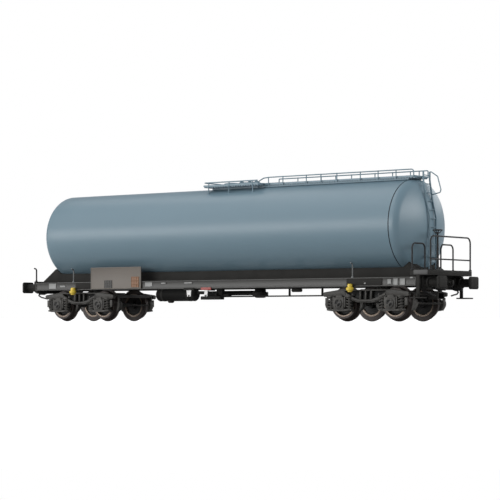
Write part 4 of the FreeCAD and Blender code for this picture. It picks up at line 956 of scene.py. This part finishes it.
ROOF_BAR, RAIL_INSET, FAR_START = 0.2, 0.275, 16.6
low, high = span("walkway_rails")
rail_y, rail_z, rail_end = high.y - RAIL_INSET, high.z - ROOF_BAR, high.x - RAIL_INSET
near_run = [(x, -rail_y, z) for x, z in (
    (walk_start - 2.3, on_barrel(rail_y)), (walk_start - 2.3, rail_z - 1.3), (walk_start, rail_z - 0.2),
    (walk_start + 2.4, rail_z), (rail_end, rail_z), (rail_end, walk_foot + 0.1))]
far_run = [(x, rail_y, z) for x, z in (
    (FAR_START, walk_foot + 0.1), (FAR_START, rail_z), (rail_end, rail_z), (rail_end, walk_foot + 0.1))]


def roof_post(x, y):
    """A post from the gangway's edge up to the rail."""
    return bent([(x, y, walk_foot + 0.05), (x, y, rail_z)], 0, ROOF_BAR * 0.9, 8)


near_rails = []
for x in (24.9, 35.0, 41.2, 47.9, 57.6, 64.8, 72.0):
    near_rails.append(roof_post(x, -rail_y))
    near_rails.append(boxed((0.55, 0.5, 0.35), (x, -rail_y, walk_foot + 0.2), edge=0.06, taper=0.7))
    near_rails.append(turned([(0, 0.2), (0.2, 0.27), (0.4, 0.2)], (x, -rail_y, rail_z - 0.2), "Z", sides=10))
posts = reflected(joined(near_rails), "Y")
extra = [roof_post(18.6, -rail_y), roof_post(75.5, rail_y)]
rails = [bent(near_run, 1.0, ROOF_BAR, 10), bent(far_run, 0.4, ROOF_BAR, 10)]
roof_rails = settled(joined([posts, *extra, *rails]), "roof_rails", tank_paint)
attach(roof_rails, "wagon")
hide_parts("walkway_rails")

# ---- Valve platform ----
# A wider grid round the manhole and valves, with a thin rail at its edge on posts that reach
# out to the shoulder of the barrel; the same grey, but for painted light: a lighter grey on the
# grid's underside and its bearers, where the deck's own shadow falls.

low, high = span("valve_platform")
stage_left, stage_right, stage_half = low.x, high.x, high.y
stage_foot = walk_foot + 0.1
# Painted light: a lighter blue-grey for the underside of the deck and its bearers, which lie in the deck's shadow.
UNDERSIDE_PAINTED_LIGHT = (0.33, 0.41, 0.46)
underside_painted_light = sprayed("underside_painted_light", UNDERSIDE_PAINTED_LIGHT, 0.45)
edge_z, edge_y = high.z - 0.25, stage_half - 0.3
stage = [grating((stage_left, -edge_y - 0.1, stage_foot), (stage_right, edge_y + 0.1, stage_foot + 0.6),
                 1.1, 0.34, 0.34)]
stage.append(reflected(bearer(stage_left + 1.0, walk_start, stage_foot + 0.05), "Y"))
edge_run = [(stage_right - 0.3, -edge_y), (stage_left + 0.25, -edge_y), (stage_left + 0.25, edge_y),
            (stage_right - 0.3, edge_y)]
stage.append(bent([(x, y, edge_z) for x, y in edge_run], 0.8, 0.22, 10))
post_foot = on_barrel(edge_y + 0.2)
for x in (-5.8, 3.4, 14.0):
    for way in (-1, 1):
        stage.append(bent([(x, way * (edge_y + 0.1), post_foot), (x, way * (edge_y + 0.1), stage_foot),
                           (x, way * edge_y, edge_z)], 0.5, 0.2, 8))
        stage.append(boxed((0.8, 0.5, 0.3), (x, way * edge_y, post_foot + 0.12), edge=0.06, taper=0.8))
# The faces below the deck top take the lighter grey: painted light in the deck's shadow.
valve_deck = dressed(joined(stage), tank_paint, (underside_painted_light, lambda face: (
    middle(face).z < stage_foot + 0.02 and abs(middle(face).y) < edge_y - 0.6)))
settled(valve_deck, "valve_deck")
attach(valve_deck, "wagon")
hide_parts("valve_platform")

# ---- Manhole ----
# A filling hole with a domed lid held down by a ring of eye bolts and swung on a hinge;
# sprayed with the tank.

low, high = span("manhole")
lid_x, lid_top, BOLT_CIRCLE = high.x - 3.1, high.z, 2.78
hatch = [turned([(0, 2.6), (0.75, 2.6), (0.75, 3.05), (1.05, 3.08), (1.25, 2.7), (1.42, 1.6), (1.5, 0.4)],
                (lid_x, 0, lid_top - 1.5), "Z", sides=40, edge=0.04)]
for step in range(8):
    turn = step * pi / 4 + pi / 8
    spot = (lid_x + BOLT_CIRCLE * cos(turn), BOLT_CIRCLE * sin(turn), lid_top - 0.95)
    hatch.append(turned([(0, 0.24), (0.5, 0.24), (0.6, 0.14)], spot, "Z", sides=8))
hatch.append(boxed((1.1, 2.1, 0.65), (lid_x - 3.1, 0, lid_top - 1.2), edge=0.12, taper=0.8))
lid = settled(joined(hatch), "lid", tank_paint)
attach(lid, "wagon")
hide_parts("manhole")

# ---- Roof valves ----
# Short flanged valve bodies with hexagon caps, and one low wide safety valve; cast and
# sprayed with the tank.

low, high = span("roof_valves")
valve_foot = low.z
VALVES = ((5.6, -3.0, 0.9, 1.3), (9.2, -3.0, 0.8, 1.4), (12.2, -3.0, 0.9, 1.2), (7.4, 2.6, 1.6, 1.1))
valves = [boxed((9.0, 2.0, 0.7), (8.9, -2.9, valve_foot + 0.35), edge=0.12, taper=0.9)]
for x, y, wide, tall in VALVES:
    body = [(0, wide), (0.22, wide), (0.26, wide * 0.7), (tall * 0.55, wide * 0.62), (tall * 0.6, wide * 0.85),
            (tall * 0.75, wide * 0.85), (tall * 0.8, wide * 0.5), (tall - 0.06, wide * 0.45)]
    valves.append(turned(body, (x, y, valve_foot), "Z", sides=18, edge=0.03))
    cap = [(0, wide * 0.42), (tall * 0.2, wide * 0.42)]
    valves.append(turned(cap, (x, y, valve_foot + tall * 0.78), "Z", sides=6))
fittings = settled(joined(valves), "valves", tank_paint)
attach(fittings, "wagon")
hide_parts("roof_valves")

# ---- Lettering board ----
# A plain board on two brackets over the sill, on which a railway would letter the wagon's
# particulars; left blank, in a dull grey-brown, with a thin raised edge. Two ribbed label
# clips, one dark and one rusty, are fixed to its lower half.

BOARD_BROWN = (0.145, 0.125, 0.105)
board_brown = sprayed("board_brown", BOARD_BROWN, 0.5, drift=0.18, tooth=0.03)
low, high = span("lettering_board")
board_left, board_right, board_foot, board_top = low.x, high.x, 12.0, high.z
panel = rimmed((board_right - board_left, 0.4, board_top - board_foot),
               ((board_left + board_right) / 2, -sill_face - 0.2, (board_foot + board_top) / 2),
               "-Y", rim=0.28, sunk=0.1, edge=0.05)
brackets = [boxed((0.8, 0.5, 4.4), (x, 0.25 - sill_face, sill_top + 2.2), edge=0.06, taper=0.7)
            for x in (board_left + 3.0, board_right - 3.0)]
board = settled(joined([panel, *brackets]), "board", board_brown)
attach(board, "wagon")
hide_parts("lettering_board")

CLIP_DARK, CLIP_RUST = (0.045, 0.042, 0.038), (0.235, 0.115, 0.055)
clip_dark = sprayed("clip_dark", CLIP_DARK, 0.5)
clip_rust = sprayed("clip_rust", CLIP_RUST, 0.5, drift=0.2)
CLIP_SPOTS = ((-50.2, -46.5, 12.3, 15.2, clip_dark), (-37.0, -33.4, 12.5, 16.4, clip_rust))
for number, (left, right, foot, top, paint) in enumerate(CLIP_SPOTS, 1):
    clip = start(bpy.ops.mesh.primitive_cube_add, size=1, scale=(right - left, 0.3, top - foot),
                 location=((left + right) / 2, -sill_face - 0.36, (foot + top) / 2))
    pick(clip, lambda face: face.normal.y < -0.5)
    bpy.ops.mesh.subdivide(number_cuts=2)
    pick(clip, lambda face: face.normal.y < -0.5)
    bpy.ops.mesh.inset(thickness=0.12, use_individual=True)
    push(y=0.12)
    shaped(clip, edge=0.03)
    settled(clip, f"clip_{number}", paint)
    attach(clip, "wagon")

# ---- Grab posts ----
# Thin upright posts along the sill with a hooked top, for a shunter's hand or a lamp; bent
# from wire.

WIRE_GREY = (0.16, 0.165, 0.165)
wire_grey = sprayed("wire_grey", WIRE_GREY, 0.4, drift=0.1)
POSTS = ((-66.6, sill_top, 0.22), (60.3, sill_top, 0.22), (-85.9, beam_top, 0.28))  # place, foot, radius
posts = []
for x, foot, thick in POSTS:
    lift = foot - sill_top
    rod = bent([(x, 0.65 - sill_face, foot - 0.05), (x, 0.65 - sill_face, sill_top + 4.7 + lift),
                (x, -0.55 - sill_face, sill_top + 5.0 + lift)], 0.7, thick, 8)
    posts.append(joined([rod, boxed((0.8, 0.7, 0.5), (x, 0.6 - sill_face, foot + 0.25), edge=0.08, taper=0.7)]))
end_post = settled(posts.pop(), "end_post", rail_black)
grabs = settled(joined(posts), "grabs", wire_grey)
for piece in (grabs, end_post):
    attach(piece, "wagon")
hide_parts("grab_posts")

# ---- Air reservoir ----
# A welded drum with domed ends slung under the frame in two straps, with a drain cock
# beneath; near-black.

low, high = span("air_reservoir")
drum_x, drum_y, drum_z, drum_r = (low.x + high.x) / 2 + 0.4, -7.0, 9.75, 2.45
DRUM_END = [(9.45, 0.3), (9.35, 0.9), (9.1, 1.5), (8.75, 2.0), (8.4, 2.3), (8.0, drum_r), (7.9, drum_r - 0.05)]
DRAIN_X = -24.0
drum = [turned([(-place, r) for place, r in DRUM_END] + DRUM_END[::-1], (drum_x, drum_y, drum_z), "X", sides=36)]
for x in (drum_x - 6.0, drum_x + 6.0):
    drum.append(turned([(-0.45, drum_r - 0.1), (-0.45, drum_r), (0.45, drum_r), (0.45, drum_r - 0.1)],
                       (x, drum_y, drum_z), "X", sides=36))
    drum.append(boxed((0.9, 3.2, 2.9), (x, drum_y, sill_top - 3.45), edge=0.08, taper=0.9))
drum.append(boxed((16.0, 1.1, 0.7), (DRAIN_X, drum_y, sill_top - 2.4), edge=0.06))
drum.append(turned([(0, 0.7), (0.3, 1.15), (1.0, 1.2), (1.3, 0.7), (1.7, 0.5)], (DRAIN_X, drum_y, 6.72), "Z",
                   sides=16, edge=0.04))
reservoir = settled(joined(drum), "reservoir", frame_black)
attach(reservoir, "wagon")
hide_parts("air_reservoir")

# ---- Brake cylinder ----
# A cast cylinder with a ribbed cover, its air pipe, and a push rod to the brake lever, over
# a shallow tray; near-black.

CYLINDER_Y, CYLINDER_Z = -6.9, 9.4
CASTING = [(0, 1.2), (0.4, 1.6), (1.0, 1.6), (1.1, 1.45), (5.2, 1.45), (5.3, 1.6), (5.9, 1.6), (6.3, 1.1), (6.6, 0.7)]
engine = [turned(CASTING, (-7.6, CYLINDER_Y, CYLINDER_Z), "X", sides=28, edge=0.04)]
engine.append(turned([(0, 0.45), (3.9, 0.45)], (-1.2, CYLINDER_Y, CYLINDER_Z), "X", sides=10))
engine.append(turned([(0, 0.6), (5.4, 0.6)], (-12.6, CYLINDER_Y, 10.35), "X", sides=14))
engine.append(boxed((0.8, 1.9, 0.6), (2.4, -6.2, 9.1), edge=0.1))
engine.append(boxed((2.8, 1.7, 3.2), (-1.0, CYLINDER_Y, sill_top - 3.6), edge=0.1, taper=0.85))
engine.append(rimmed((8.8, 2.6, 1.2), (-3.4, -8.6, 8.4), "Z", rim=0.25, sunk=0.5, edge=0.08))
cylinder = settled(joined(engine), "cylinder", frame_black)
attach(cylinder, "wagon")
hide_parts("brake_cylinder")

# ---- Changeover levers ----
# Two small weighted levers below the sill, each in front of an enamelled plate: one white,
# one white under a red strip; blank.

LEVER_WHITE, LEVER_RED = (0.84, 0.83, 0.81), (0.33, 0.045, 0.035)
lever_white = sprayed("lever_white", LEVER_WHITE, 0.4, drift=0.06)
lever_red = sprayed("lever_red", LEVER_RED, 0.4, drift=0.12)
white_parts, red_parts, dark_parts = [], [], []
for x, wide in ((-9.8, 2.2), (-2.0, 1.7)):
    pointer = start(bpy.ops.mesh.primitive_cube_add, size=1, location=(x, -sill_face - 0.2, 10.2),
                    scale=(wide, 0.35, 2.6))
    pick(pointer, lambda face: face.normal.z < -0.5)
    bpy.ops.transform.resize(value=(0.7, 1, 1), center_override=(x, 0, 0))
    pick(pointer, lambda face: face.normal.y < -0.5)
    bpy.ops.mesh.inset(thickness=0.2)
    push(y=0.07)
    white_parts.append(shaped(pointer, edge=0.05))
    strip = boxed((4.6, 0.36, 0.95), (x, -sill_face - 0.2, 11.62), edge=0.06)
    (dark_parts if x < -5 else red_parts).append(strip)
    dark_parts.append(turned([(0, 0.33), (4.8, 0.33)], (x, -sill_face - 0.1, 11.3), "Y", sides=10))
    dark_parts.append(boxed((0.6, 0.45, 0.9), (x, -sill_face - 0.24, 9.05), edge=0.1))
for parts, name, paint in ((white_parts, "lever_plates", lever_white), (red_parts, "lever_strip", lever_red),
                           (dark_parts, "lever_shafts", frame_black)):
    group = settled(joined(parts), name, paint)
    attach(group, "wagon")
    if name == "lever_plates":
        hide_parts("changeover_levers")

# ---- Bottom outlet ----
# The discharge neck under the barrel with its flanged valve and the pipe that crosses the
# frame; near-black.

OUTLET_X, FLANGE_BOLTS, FLANGE_CIRCLE = 11.6, 8, 2.4
neck = [turned([(0, 1.4), (0.2, 1.95), (0.8, 2.0), (0.8, 2.85), (2.0, 2.85), (2.0, 2.0), (7.9, 2.0)],
               (OUTLET_X, 0, 8.4), "Z", sides=28, edge=0.05)]
for step in range(FLANGE_BOLTS):
    turn = step * 2 * pi / FLANGE_BOLTS
    neck.append(turned([(0, 0.26), (0.2, 0.26), (1.45, 0.26), (1.6, 0.14)],
                       (OUTLET_X + FLANGE_CIRCLE * cos(turn), FLANGE_CIRCLE * sin(turn), 9.0), "Z", sides=6))
neck.append(turned([(0, 0.9), (0.5, 1.1), (0.9, 1.1), (0.9, 0.85), (18.4, 0.85), (18.4, 1.05), (19.0, 1.05)],
                   (-7.4, 0, 10.2), "X", sides=20, edge=0.03))
outlet = settled(joined(neck), "outlet", frame_black)
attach(outlet, "wagon")
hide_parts("bottom_outlet")

# ---- Brake rodding ----
# The long pull rod to the far bogie with its slack adjuster and hangers; blackened wire and
# moulded brackets.

low, high = span("brake_rodding")
ROD_Y, ROD_Z, ADJUSTER_X = -5.0, 8.9, 29.2
rods = [bent([(low.x + 0.1, ROD_Y, ROD_Z), (high.x - 0.1, ROD_Y, ROD_Z)], 0, 0.25, 10)]
for x in (28.2, 42.2):
    rods.append(boxed((0.6, 0.7, 4.0), (x, ROD_Y, 10.7), edge=0.08, taper=0.9))
rods.append(boxed((15.0, 0.8, 0.8), (35.2, ROD_Y, sill_top - 2.4), edge=0.06))
rods.append(turned([(0, 0.35), (0.3, 0.68), (4.0, 0.68), (4.3, 0.35)], (ADJUSTER_X, ROD_Y, sill_top - 3.8), "X",
                   sides=14, edge=0.04))
rodding = settled(joined(rods), "rodding", frame_black)
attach(rodding, "wagon")
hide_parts("brake_rodding")

# ---- Release knobs ----
# The bright yellow pulls of the brake release: a ribbed stem over a wider skirt, each on a
# short arm from the sill.

KNOB_YELLOW = (0.76, 0.56, 0.055)
knob_yellow = sprayed("knob_yellow", KNOB_YELLOW, 0.35, drift=0.10, tooth=0.015, shade=(0.4, 0.7, 1.0))
low, high = span("release_knobs")
knob_foot = low.z
KNOB = [(0, 0.6), (0.15, 0.8), (0.5, 0.82), (0.55, 1.15), (0.7, 1.28), (1.35, 1.28), (1.55, 1.05), (1.7, 0.8),
        (2.45, 0.78), (2.65, 0.66), (2.76, 0.35)]
RIBS, RIB_CIRCLE = 6, 0.74
yellow = []
for x in (-65.4, 60.4):
    spot = (x, -sill_face - 1.1, knob_foot)
    yellow.append(turned(KNOB, spot, "Z", sides=28))
    yellow.append(boxed((0.7, 1.1, 0.8), (x, -sill_face - 0.55, knob_foot + 2.3), edge=0.1))
    for step in range(RIBS):
        turn = step * 2 * pi / RIBS
        rib_spot = (x + RIB_CIRCLE * cos(turn), spot[1] + RIB_CIRCLE * sin(turn), knob_foot + 2.1)
        yellow.append(boxed((0.22, 0.22, 0.7), rib_spot, edge=0.04))
knobs = settled(joined(yellow), "knobs", knob_yellow)
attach(knobs, "wagon")
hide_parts("release_knobs")

# ---- Studio ----
# A pale floor that runs out to a white surround, five soft boxes, and the camera standing
# low beside the platform end.

FLOOR_TONE = (0.93, 0.93, 0.93)
bpy.ops.object.select_all(action="DESELECT")
bpy.ops.mesh.primitive_plane_add(size=8.0, location=(0, 0, 0))
floor = bpy.context.active_object
floor.name = "floor"
floor_paint, wires = bare("floor_paint")
spot = wires.add("ShaderNodeTexCoord", output="Object")
cloud = wires.add("ShaderNodeTexNoise", None, {"Vector": spot, "Scale": 3.0, "Detail": 2.0})
place = wires.add("ShaderNodeSeparateXYZ", None, {"Vector": spot})
card = wires.add("ShaderNodeMapRange", None, {0: place, 1: 0.0, 2: 0.25, 3: 0.8, 4: 0.2})
shine = wires.mix(card * wires.add("ShaderNodeLightPath", output="Is Glossy Ray"), (0.30, 0.30, 0.30), FLOOR_TONE)
tone = wires.mix(wires.add("ShaderNodeLightPath", output="Is Camera Ray"), shine,
                 wires.mix(cloud, [part * 0.99 for part in FLOOR_TONE], FLOOR_TONE))
across = wires.add("ShaderNodeSeparateXYZ", None, {"Vector": spot}, 1)
away = wires.maths("SQRT", place * place + across * across)
lift = wires.add("ShaderNodeMapRange", None, {0: away, 1: 0.25, 2: 1.6, 3: 0.42, 4: 1.0})
lift = wires.mix(lift * wires.add("ShaderNodeLightPath", output="Is Camera Ray"), (0, 0, 0), (1, 1, 1))
matt = wires.add("ShaderNodeBsdfPrincipled", None, {
    "Base Color": tone, "Roughness": 0.9, "Specular IOR Level": 0.1,
    "Emission Color": lift, "Emission Strength": 1.0})
wires.add("ShaderNodeOutputMaterial", None, {"Surface": matt})
floor.data.materials.append(floor_paint)

world = bpy.data.worlds.new("surround")
bpy.context.scene.world = world
world.use_nodes = True
world.node_tree.nodes.clear()
wires = Wire(world.node_tree)
seen = wires.add("ShaderNodeLightPath", output="Is Camera Ray")
plain = wires.add("ShaderNodeBackground", None, {"Color": (1, 1, 1, 1), "Strength": 1.0})
soft = wires.add("ShaderNodeBackground", None, {"Color": (0.93, 0.96, 1.0, 1), "Strength": 0.42})
both = wires.add("ShaderNodeMixShader", None, {0: seen, 1: soft, 2: plain})
wires.add("ShaderNodeOutputWorld", None, {"Surface": both})


def soft_box(name, place, target, length, width, watts):
    """A rectangular lamp at a place, facing a target."""
    lamp = bpy.data.lights.new(name, "AREA")
    lamp.shape, lamp.size, lamp.size_y, lamp.energy = "RECTANGLE", length, width, watts
    holder = bpy.data.objects.new(name, lamp)
    bpy.context.collection.objects.link(holder)
    holder.location = place
    holder.rotation_euler = (Vector(target) - Vector(place)).to_track_quat("-Z", "Y").to_euler()
    return holder


soft_box("overhead", (-0.45, -0.16, 0.85), (-0.1, 0, 0.03), 1.2, 0.28, 1.7)
soft_box("front", (-0.49, -0.92, 0.10), (0, 0, 0.03), 1.3, 0.40, 7.5)
soft_box("fill", (-0.35, -0.65, 0.62), (0, 0, 0.03), 1.3, 0.6, 2.2)
soft_box("end", (1.00, 0.30, 0.38), (0.06, 0, 0.03), 0.9, 0.34, 5.2)
soft_box("back", (-0.10, 1.00, 0.36), (0, 0, 0.03), 1.3, 0.3, 2.2)

camera = bpy.data.objects.new("camera", bpy.data.cameras.new("camera"))
bpy.context.collection.objects.link(camera)
camera.location = (0.4134, -0.5308, 0.0008)
camera.rotation_euler = Vector((-0.608, 0.794, 0)).to_track_quat("-Z", "Y").to_euler()
camera.data.lens, camera.data.sensor_width, camera.data.shift_y = 134.4, 36.0, 0.1384
camera.data.clip_start, camera.data.clip_end = 0.01, 20.0
bpy.context.scene.camera = camera
bpy.context.scene.view_settings.view_transform = "Standard"
